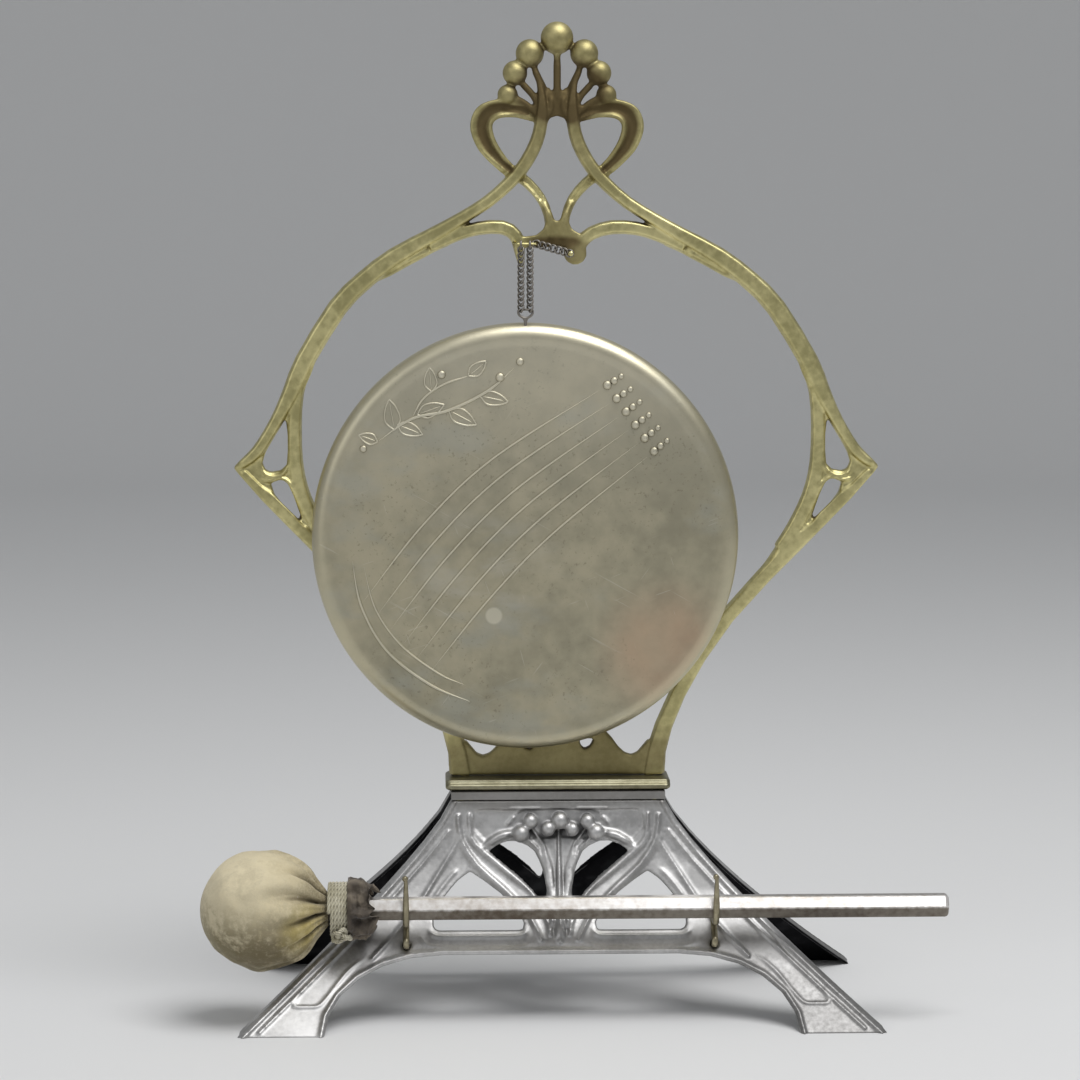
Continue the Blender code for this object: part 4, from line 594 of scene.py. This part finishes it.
gong_brass = spun_brass("gong_brass")
RIM, RIM_RISE, SHEET = 5.4, 0.4, 1.6
edge, deep = gong_radius / MM, (gong_high.y - gong_low.y) / MM
outer_corner = [(edge - RIM * 1.72, RIM_RISE), (edge - RIM * 1.45, RIM_RISE * 0.86),
                (edge - RIM * 1.15, RIM_RISE * 0.22), (edge - RIM * 0.86, 0.0),
                (edge - RIM * 0.56, RIM * 0.08), (edge - RIM * 0.30, RIM * 0.26),
                (edge - RIM * 0.10, RIM * 0.52), (edge, RIM * 0.95)]
rim_section = [(edge * k / 8, RIM_RISE) for k in range(8)] + curve_through(outer_corner, 4)
rim_section += [(edge, deep - 0.25), (edge - 0.25, deep), (edge - SHEET + 0.25, deep),
                (edge - SHEET, deep - 0.25), (edge - SHEET, RIM * 0.95),
                (edge - SHEET - 0.5, SHEET + RIM * 0.25), (edge - SHEET - RIM * 0.6, SHEET + 0.1),
                (edge - RIM * 1.55, RIM_RISE + SHEET), (0.0, RIM_RISE + SHEET)]


def lathe(section, spins, place):
    """A surface turned from (radius, along) pairs; place() puts each of its points."""
    bm = bmesh.new()
    turned = []
    for radius, along in section:
        angles = [2 * math.pi * k / spins for k in range(spins if radius else 1)]
        turned.append([bm.verts.new(place(radius, along, angle)) for angle in angles])
    for ring, following in zip(turned, turned[1:]):
        for k in range(spins):
            n = k + 1
            corners = (ring[k % len(ring)], ring[n % len(ring)],
                       following[n % len(following)], following[k % len(following)])
            bm.faces.new(dict.fromkeys(corners))
    return bm


def on_gong_turn(radius, depth, angle):
    """A place on the gong's own turning, in millimetres from its middle and behind its front."""
    return Vector((gong_x + radius * MM * math.sin(angle), gong_low.y + depth * MM,
                   gong_z + radius * MM * math.cos(angle)))


gong = piece("gong_pan", lathe(rim_section, 192, on_gong_turn), gong_brass, "gong")
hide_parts("gong_disc")


# Chased work on the gong's face: a generic design of river reeds with seed heads, one leafy spray
# and two plain arcs, raised from behind, with painted shade along each foot and a painted highlight
# along each crest. It is one skin with the face.
gong_face_y = gong_low.y + RIM_RISE * MM
SINK, DOME = 0.06, 0.55
drawing = bmesh.new()
drawing_crest = drawing.verts.layers.float.new("crest")


def on_gong(u, w, lift=0.0):
    """A place on the gong's face, from millimetres right of and above its middle."""
    return Vector((gong_x + u * MM, gong_face_y - lift * MM, gong_z + w * MM))


def line(points, width, rise, steps=14, taper=True):
    """One raised half-round line of the drawing, fading at its two ends."""
    path = [on_gong(u, w) for u, w in curve_through(points, steps)]
    last = len(path) - 1
    rows = []
    for i, point in enumerate(path):
        side = heading(path, i).cross(facing).normalized()
        share = min(1.0, 4.0 * min(i, last - i) / len(path) + 0.12) if taper else 1.0
        row = []
        for turn in (math.pi * k / 8 for k in range(9)):
            vert = drawing.verts.new(
                point + side * (math.cos(turn) * width * MM / 2 * share)
                + facing * ((math.sin(turn) * (rise * share + SINK) - SINK) * MM))
            vert[drawing_crest] = math.sin(turn)
            row.append(vert)
        rows.append(row)
    join(drawing, rows, closed=False)


def bead(u, w, radius):
    """One raised dome of the drawing, its top carrying a painted highlight and its foot painted shade."""
    rings, spins = 6, 20
    top = drawing.verts.new(on_gong(u, w, radius * DOME))
    top[drawing_crest] = 1.0
    dome = []
    for i in range(1, rings + 1):
        turn = math.pi / 2 * i / rings
        out, lift = radius * math.sin(turn), radius * DOME * math.cos(turn) - (SINK if i == rings else 0)
        ring = []
        for angle in (2 * math.pi * k / spins for k in range(spins)):
            vert = drawing.verts.new(on_gong(u + out * math.cos(angle), w + out * math.sin(angle), lift))
            vert[drawing_crest] = math.cos(turn)
            ring.append(vert)
        dome.append(ring)
    for k in range(spins):
        drawing.faces.new((top, dome[0][(k + 1) % spins], dome[0][k]))
    join(drawing, dome)


def leaf(u, w, angle, length, width):
    """One leaf of the spray: its outline and its midrib."""
    c, s = math.cos(math.radians(angle)), math.sin(math.radians(angle))

    def turned(a, b):
        return u + a * c - b * s, w + a * s + b * c

    for side in (1, -1):
        line([turned(0, 0), turned(length * 0.3, side * width * 0.5),
              turned(length * 0.7, side * width * 0.38), turned(length, 0)], 0.8, 0.34, 6, False)
    line([turned(length * 0.06, 0), turned(length * 0.5, 0), turned(length * 0.86, 0)], 0.6, 0.24, 5)


for k in range(6):
    shift = k * 7.6
    start = (-57 + shift * 0.62, -22 - shift * 0.66)
    end = (26 + shift * 0.44, 52 - shift * 0.62)
    bow = 7.5 - k * 0.6
    middle = [((start[0] * (1 - t) + end[0] * t) - bow * math.sin(math.pi * t) * 0.66,
               (start[1] * (1 - t) + end[1] * t) + bow * math.sin(math.pi * t) * 0.75) for t in (0.3, 0.6)]
    line([start, *middle, end], 1.0, 0.42)
    tip = math.atan2(end[1] - middle[1][1], end[0] - middle[1][0])
    for n, size in enumerate((1.6, 1.35, 1.05)):
        away = 3.1 + n * 2.9
        bead(end[0] + math.cos(tip) * away, end[1] + math.sin(tip) * away, size)
line([(-61, -8), (-58, -24), (-49, -40), (-34, -52), (-20, -58)], 1.2, 0.4)
line([(-57, -10), (-53, -25), (-44, -38), (-31, -48), (-22, -52)], 0.9, 0.32)
line([(-52, 34), (-40, 42), (-27, 45), (-13, 52), (-4, 60)], 1.3, 0.46)
line([(-40, 42), (-36, 49), (-29, 54), (-20, 57)], 1.0, 0.4)
# Leaves of the spray: place, turn in degrees, length and width.
LEAVES = [(-46, 38, 100, 11, 5.2), (-38, 43.5, 20, 10, 4.6), (-33, 51.5, 95, 8.5, 4.2),
          (-27, 45, -28, 11, 5.0), (-20, 57, 40, 8, 4.0), (-16, 50, -12, 10, 4.6),
          (-52, 34, 160, 7, 3.6), (-45, 40, -22, 9.5, 4.4)]
for u, w, angle, length, width in LEAVES:
    leaf(u, w, angle, length, width)
for u, w, size in ((-9, 56.5, 1.6), (-2, 62, 1.4), (-29.5, 57.5, 1.5), (-57, 31.5, 1.3)):
    bead(u, w, size)

chased = spun_brass("chased_brass")
# Painted light on the drawing: each line and dome is pale along its crest as a highlight and dark along its
# foot as shade.
crest = chased.painted("crest")
under = chased.shader.inputs["Base Color"].links[0].from_socket
foot_shade_tone = chased.mix((1 - crest.step(0.0, 0.7)) * 0.75, Value(chased.tree, under), (0.13, 0.11, 0.07))
chased.feed(base_color=chased.mix(crest.step(0.7, 1.0) * 0.6, foot_shade_tone, (0.80, 0.76, 0.62)))
gong_drawing = piece("gong_chasing", drawing, chased, "gong")


# Hooks and their nuts: forks of bent brass rod, with a prong behind the handle and one in front of
# it, each ending in a small ball. The shank goes through the front panel to a nut behind it.
TIP_BALL, TIP_SUNK = 0.00105, 0.0010
hook_brass = aged_brass("hook_brass", (0.52, 0.475, 0.33), (0.30, 0.265, 0.18), (0.08, 0.06, 0.035), 0.002)
handle_low, handle_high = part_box("mallet_handle")
axis_y, axis_z = (handle_low.y + handle_high.y) / 2, (handle_low.z + handle_high.z) / 2
for name in ("hook_nut_1", "hook_nut_2"):
    dress(name, hook_brass)
for name in ("mallet_hook_left", "mallet_hook_right"):
    rounded_wire(name, hook_brass, 0.00008)
    places = [vert.co for vert in frame["nodes"][name].data.vertices]
    for prong in ([p for p in places if p.y < axis_y], [p for p in places if p.y >= axis_y]):
        tip = max(prong, key=lambda place: place.z)
        knob = bmesh.new()
        ball(knob, Vector((tip.x, tip.y, tip.z - TIP_SUNK)), TIP_BALL)
        side = "front" if tip.y < axis_y else "back"
        piece(name + "_tip_" + side, knob, hook_brass, "stand")


# Mallet handle: a six-sided bar of silvered brass that lies in the two hooks. Its upper sides are
# painted pale as if lit from above, and its lower ones a dark rosy brown as painted shade.
handle_plate = Finish("handle_plate", metallic=1.0)
wear = handle_plate.cloud(30, 4, stretch=(0.35, 1, 1)) * 0.6 + handle_plate.cloud(400, 4) * 0.4
height = handle_plate.vector('DOT_PRODUCT', handle_plate.place, (0, 0, 1 / MM))
# Painted light: the upper half is pale as if lit from above, the lower half dark as shade.
painted_top_light = (height - axis_z / MM + (wear - 0.5) * 2).step(-0.6, 0.5)
plate = handle_plate.mix(wear.step(0.36, 0.62), (0.58, 0.53, 0.48), (0.84, 0.82, 0.80))
painted_under_shade = handle_plate.mix(wear.step(0.36, 0.62), (0.13, 0.105, 0.08), (0.27, 0.245, 0.21))
handle_plate.feed(base_color=handle_plate.mix(painted_top_light, painted_under_shade, plate),
                  roughness=(0.46 - painted_top_light * 0.20 + wear * 0.12).held())
handle_plate.bump(handle_plate.cloud(600, 3, stretch=(0.3, 1, 1)), 0.0001, 0.35)
dress("mallet_handle", handle_plate)


# Mallet head: a felt core under a circle of chamois leather, drawn together at the neck. The
# leather is mottled beige and olive, with a short nap and soft folds gathered towards the string.
felt = Finish("felt", roughness=0.95, sheen_weight=0.3)
felt.feed(base_color=felt.mix(felt.cloud(900, 3), (0.35, 0.31, 0.25), (0.50, 0.46, 0.38)))
felt.bump(felt.cloud(2200, 4), 0.0004, 0.6)
dress("mallet_core", felt)

cover_low, cover_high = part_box("mallet_cover")
core_low, core_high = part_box("mallet_core")
core_x, core_radius = (core_low.x + core_high.x) / 2, (core_high.z - core_low.z) / 2
tie_low, tie_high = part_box("mallet_tie")
head_radius = (cover_high.z - cover_low.z) / 2
head_middle = cover_low.x + head_radius
tie_radius = (tie_high.y - tie_low.y) / 2
TIE_DEPTH = 0.0013
neck_radius = tie_radius - TIE_DEPTH


def about_handle(x, radius, angle):
    """A place round the handle's line, the angle turning from the front towards the top."""
    return Vector((x, axis_y - radius * math.cos(angle), axis_z + radius * math.sin(angle)))


def smooth(low, high, value):
    """A smooth 0 to 1 as the value goes from low to high."""
    t = min(1.0, max(0.0, (value - low) / (high - low)))
    return t * t * (3 - 2 * t)


# Folds at the neck: where each lies round the handle, its depth, half width and length.
FOLDS = [(-1.15, 0.0026, 0.11, 0.55), (-0.62, 0.0018, 0.07, 0.40), (-0.12, 0.0026, 0.09, 0.52),
         (0.42, 0.0030, 0.11, 0.60), (0.98, 0.0018, 0.08, 0.45), (1.7, 0.0024, 0.11, 0.5),
         (2.5, 0.0020, 0.09, 0.45), (3.3, 0.0026, 0.10, 0.5), (4.2, 0.0020, 0.09, 0.4)]
cover = bmesh.new()
painted_fold_shade = cover.verts.layers.float.new("crest")
ROUNDS, STATIONS, NECK_TURN = 180, 110, math.pi * 0.845
rings = []
for i in range(STATIONS + 1):
    s = i / STATIONS
    turn = NECK_TURN * s
    x = min(tie_low.x, head_middle - head_radius * math.cos(turn) * 0.985)
    radius = max(head_radius * math.sin(turn) * 0.975, 0.00002)
    gather = smooth(0.68, 0.98, s)
    core_there = min(radius, math.sqrt(max(0.0, core_radius ** 2 - (x - core_x) ** 2)) + 0.0004)
    ring = []
    for k in range(ROUNDS):
        angle = 2 * math.pi * k / ROUNDS
        r, dark = radius, 0.0
        for place, deep, wide, reach in FOLDS:
            away = (angle - place - 0.35 * (s - 0.8) + math.pi) % (2 * math.pi) - math.pi
            strength = smooth(1 - reach, 0.97, s)
            dip = math.exp(-(away / (wide * (1.6 - 0.9 * s))) ** 2) * strength
            r -= deep * dip
            r += deep * 0.5 * strength * math.exp(-((abs(away) - wide * 2.1) / wide) ** 2)
            dark = max(dark, dip)
        r += 0.00045 * gather * math.sin(angle * 23 + 2 * math.sin(3 * angle))
        place = about_handle(x, r, angle)
        lump = noise.noise(place * 95) * 0.0011 + noise.noise(place * 240) * 0.0004
        r += (lump - 0.0004) * smooth(0.02, 0.3, s) * (1 - 0.6 * gather)
        place = about_handle(x, max(r, core_there), angle)
        vert = cover.verts.new(place)
        vert[painted_fold_shade] = dark
        ring.append(vert)
    rings.append(ring)
rings.append([cover.verts.new(about_handle(tie_low.x + 0.0004, neck_radius * 0.7, 2 * math.pi * k / ROUNDS))
              for k in range(ROUNDS)])
join(cover, rings)
cover.faces.new(rings[0])

chamois = Finish("chamois", roughness=0.9, sheen_weight=0.35, sheen_roughness=0.5,
                 sheen_tint=(0.9, 0.85, 0.7, 1.0), specular_ior_level=0.25)
nap = chamois.cloud(130, 5)
hide = chamois.cloud(42, 4)
pores = chamois.cloud(1500, 3)
grit = chamois.cloud(430, 4, 0.7)
tone = chamois.mix((nap * 0.5 + hide * 0.35 + grit * 0.3).step(0.50, 0.66),
                   (0.235, 0.19, 0.105), (0.58, 0.50, 0.325))
tone = chamois.mix(pores.step(0.35, 0.6) * 0.3, tone, (0.62, 0.55, 0.38))
# Ragged patches of other colours: place, size, raggedness, share and colour.
PATCHES = [((-0.120, -0.054, 0.026), 0.027, 2.4, 0.90, (0.13, 0.108, 0.052)),
           ((-0.106, -0.058, 0.022), 0.018, 2.4, 0.70, (0.15, 0.12, 0.065)),
           ((-0.116, -0.052, 0.053), 0.022, 3.0, 0.65, (0.80, 0.71, 0.50)),
           ((-0.092, -0.056, 0.035), 0.011, 1.2, 0.60, (0.50, 0.40, 0.12))]
for place, size, ragged, share, colour in PATCHES:
    away = chamois.vector('DISTANCE', chamois.place, place) / size
    edge_noise = ((nap + grit) * 0.5 - 0.5) * ragged + (hide - 0.5) * 0.8
    tone = chamois.mix((1 - (away + edge_noise).step(0.3, 1.25)) * share, tone, colour)
# Painted shade: the leather is darkened along the dips of its folds at the neck.
tone = chamois.mix(chamois.painted("crest").step(0.45, 1.0) * 0.9, tone, (0.07, 0.05, 0.02))
shade = 1 - chamois.hollow(0.005).step(0.4, 0.95)
chamois.feed(base_color=chamois.mix(shade * 0.7, tone, (0.06, 0.05, 0.028)))
chamois.bump(pores * 0.35 + nap * 0.7, 0.0006, 0.6)
mallet_head = piece("mallet_head_leather", cover, chamois, "mallet")
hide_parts("mallet_cover")


# String: six turns of pale cotton cord round the leather's neck, tied in a small hard knot.
# Each turn is laid up from three twisted strands.
def cord(bm, centres, thick, twists):
    """Adds a cord along the centres, laid from three twisted strands."""
    layer = bm.verts.layers.float.get("crest") or bm.verts.layers.float.new("crest")
    last = len(centres) - 1
    offset, radius = thick * 0.235, thick * 0.262
    for strand in range(3):
        rows = []
        for i, centre in enumerate(centres):
            along = heading(centres, i)
            out = centre - Vector((centre.x, axis_y, axis_z))
            out = (out - along * out.dot(along)).normalized()
            side = along.cross(out)
            lay = 2 * math.pi * (strand / 3 + twists * i / last)
            middle = centre + (out * math.cos(lay) + side * math.sin(lay)) * offset
            row = []
            for turn in (2 * math.pi * k / 7 for k in range(7)):
                vert = bm.verts.new(middle + (out * math.cos(turn) + side * math.sin(turn)) * radius)
                vert[layer] = (vert.co - centre).length / (offset + radius)
                row.append(vert)
            rows.append(row)
        join(bm, rows)
        for end in (rows[0], rows[-1]):
            bm.faces.new(end)


TIE_TURNS, TIE_TWISTS, STRING_THICK = 6, 50, 0.00137
wound = [about_handle(tie_low.x + STRING_THICK / 2 + (tie_high.x - tie_low.x - STRING_THICK) * t,
                      tie_radius - STRING_THICK / 2 + 0.00007 * math.sin(37 * t),
                      2 * math.pi * TIE_TURNS * t) for t in (k / 560 for k in range(561))]
winding = bmesh.new()
cord(winding, wound, STRING_THICK, TIE_TWISTS)

cotton = Finish("cotton_string", roughness=0.85, sheen_weight=0.25)
fibres = cotton.cloud(2600, 3)
soiled = cotton.cloud(120, 4)
proud = cotton.painted("crest").step(0.45, 0.95)
tone = cotton.mix(soiled.step(0.35, 0.65), (0.38, 0.35, 0.24), (0.60, 0.565, 0.44))
# Painted shade: the cord is darker where its strands lie deep between the others.
tone = cotton.mix((1 - proud) * 0.55, tone, (0.17, 0.145, 0.09))
cotton.feed(base_color=cotton.mix(fibres.step(0.5, 0.75) * 0.3, tone, (0.36, 0.34, 0.24)))
cotton.bump(fibres, 0.00015, 0.5)
string = piece("tie_string", winding, cotton, "mallet")
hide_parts("mallet_tie")

knot_low, knot_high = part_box("mallet_knot")
knot_middle = (knot_low + knot_high) / 2 + Vector((0.0010, -0.0008, 0.0010))
knot_along = Vector((1, 0, 0))
knot_out = (knot_middle - Vector((knot_middle.x, axis_y, axis_z))).normalized()
knot_side = knot_along.cross(knot_out)
knot_reach = (knot_high.x - knot_low.x) * 0.74
loops = []
for k in range(121):
    turn = 2 * math.pi * k / 120
    loops.append(knot_middle + (
        knot_along * (math.sin(turn) + 2 * math.sin(2 * turn)) * 0.27
        + knot_side * (math.cos(turn) - 2 * math.cos(2 * turn)) * 0.27
        + knot_out * math.sin(3 * turn) * 0.24) * knot_reach)
tying = bmesh.new()
cord(tying, loops, STRING_THICK * 1.25, 12)
for lean in (-1, 1):
    tail = [knot_middle + (knot_along * lean * (0.25 + 0.55 * t) + knot_out * (0.3 - 0.1 * t)
                           + knot_side * (0.1 - 0.75 * t * lean * 0.5)) * knot_reach
            for t in (k / 12 for k in range(13))]
    cord(tying, tail, STRING_THICK * 1.05, 2)
knot = piece("tie_knot", tying, cotton, "mallet")
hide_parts("mallet_knot")


# Ruffle: the leather's loose edge beyond the string, stained dark and stiff, in soft lobes. It is
# the cover's own edge, held by the same string.
ruffle_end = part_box("mallet_ruffle")[1].x
frill = bmesh.new()
LOBES, WAVE_ROWS, WAVE_ROUNDS = 7, 40, 264
frill_start = tie_high.x - 0.0011
frill_reach = (tie_high.z - tie_low.z) / 2 + 0.0020
skins = []
for thick in (0.0, 0.0011):
    rows = []
    for i in range(WAVE_ROWS + 1):
        s = i / WAVE_ROWS
        x = frill_start + (ruffle_end - frill_start) * s
        row = []
        for k in range(WAVE_ROUNDS):
            angle = 2 * math.pi * k / WAVE_ROUNDS
            wander = 1.5 * math.sin(2 * angle + 1) + 0.8 * math.sin(5 * angle) + 1.3 * s
            lobe = math.sin(LOBES * angle + wander)
            crumple = noise.noise(about_handle(x, 0.009, angle) * 280)
            small = noise.noise(about_handle(x, 0.009, angle) * 900)
            full = 0.93 + 0.07 * smooth(0.0, 0.15, s) - 0.12 * smooth(0.5, 1.0, s)
            deep = 0.0006 + 0.0030 * smooth(0.02, 0.35, s)
            r = frill_reach * full - deep * (0.5 - 0.5 * lobe) + 0.0019 * crumple + 0.0004 * small
            r = min(r, frill_reach) - thick * (1 - 0.4 * s)
            end = x - s * s * (0.0020 * (0.5 + 0.5 * math.sin(3 * angle + 0.6)) + 0.0020 * crumple
                               + 0.0011 * lobe + 0.0014)
            row.append(frill.verts.new(about_handle(end, max(r, neck_radius * 0.72), angle)))
        rows.append(row)
    join(frill, rows)
    skins.append(rows)
for i in (0, WAVE_ROWS):
    join(frill, [rows[i] for rows in skins])
stained = Finish("stained_leather", roughness=0.7, sheen_weight=0.2)
tan = stained.cloud(150, 5)
# Painted shade: the ruffle is darkened nearly black in the hollows between its lobes.
painted_lobe_shade = 1 - stained.hollow(0.004).step(0.35, 0.95)
tone = stained.mix(tan.step(0.38, 0.72), (0.050, 0.037, 0.025), (0.17, 0.138, 0.10))
stained.feed(base_color=stained.mix(painted_lobe_shade * 0.85, tone, (0.02, 0.014, 0.01)))
stained.bump(stained.cloud(1300, 3) * 0.5 + tan, 0.0004, 0.5)
ruffle = piece("leather_ruffle", frill, stained, "mallet")
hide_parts("mallet_ruffle")


# Where it is shown: a plain pale round floor of paper that curves up into a wall all round, two soft
# lamps and a dim even sky, and the camera in front, a little above and to the left.
FLAT, BEND, WALL = 2.3, 0.9, 1.9
bend = [math.pi / 2 * k / 16 for k in range(17)]
room_section = [(0.0, 0.0), (0.8, 0.0), (1.6, 0.0)]
room_section += [(FLAT + BEND * math.sin(turn), BEND - BEND * math.cos(turn)) for turn in bend]
room_section.append((FLAT + BEND, WALL))
room = lathe(room_section, 96, lambda radius, height, angle: Vector((
    radius * math.sin(angle), radius * math.cos(angle), height)))
floor_mesh = bpy.data.meshes.new("floor")
room.to_mesh(floor_mesh)
room.free()
floor_mesh.shade_smooth()
floor = bpy.data.objects.new("floor", floor_mesh)
bpy.context.scene.collection.objects.link(floor)
paper = Finish("pale_paper", roughness=0.8, specular_ior_level=0.1)
floor.data.materials.append(paper.material)
paper.shader.inputs["Base Color"].default_value = (0.76, 0.76, 0.76, 1.0)

world = bpy.data.worlds.new("studio")
bpy.context.scene.world = world
world.use_nodes = True
world.node_tree.nodes["Background"].inputs["Color"].default_value = (0.80, 0.82, 0.84, 1.0)
world.node_tree.nodes["Background"].inputs["Strength"].default_value = 0.42

middle = Vector((middle_x, 0, 0.165))


def soft_lamp(name, place, aim, power, width, height):
    """A square soft lamp in one place, turned to another."""
    light = bpy.data.lights.new(name, 'AREA')
    light.shape, light.size, light.size_y, light.energy = 'RECTANGLE', width, height, power
    lamp = bpy.data.objects.new(name, light)
    lamp.location = place
    lamp.rotation_euler = (Vector(aim) - Vector(place)).to_track_quat('-Z', 'Y').to_euler()
    bpy.context.scene.collection.objects.link(lamp)


soft_lamp("key_lamp", (0.38, -0.46, 1.45), middle, 16, 0.9, 1.0)
soft_lamp("fill_lamp", (-1.3, -1.3, 0.9), middle, 4, 1.2, 1.2)

IMAGE = 1080
DISTANCE, RISE_ANGLE, SIDE_ANGLE, FOCAL_PIXELS = 1.300, 5.5, -2.0, 3648
AIM_PIXEL = (557, 541)
camera = bpy.data.objects.new("camera", bpy.data.cameras.new("camera"))
rise, aside = math.radians(RISE_ANGLE), math.radians(SIDE_ANGLE)
camera.location = middle + DISTANCE * Vector((
    math.cos(rise) * math.sin(aside), -math.cos(rise) * math.cos(aside), math.sin(rise)))
camera.rotation_euler = (middle - camera.location).to_track_quat('-Z', 'Y').to_euler()
camera.data.sensor_width = 36.0
camera.data.lens = FOCAL_PIXELS * camera.data.sensor_width / IMAGE
camera.data.shift_x = (IMAGE / 2 - AIM_PIXEL[0]) / IMAGE
camera.data.shift_y = (AIM_PIXEL[1] - IMAGE / 2) / IMAGE
bpy.context.scene.collection.objects.link(camera)
bpy.context.scene.camera = camera
bpy.context.scene.view_settings.view_transform = 'Standard'
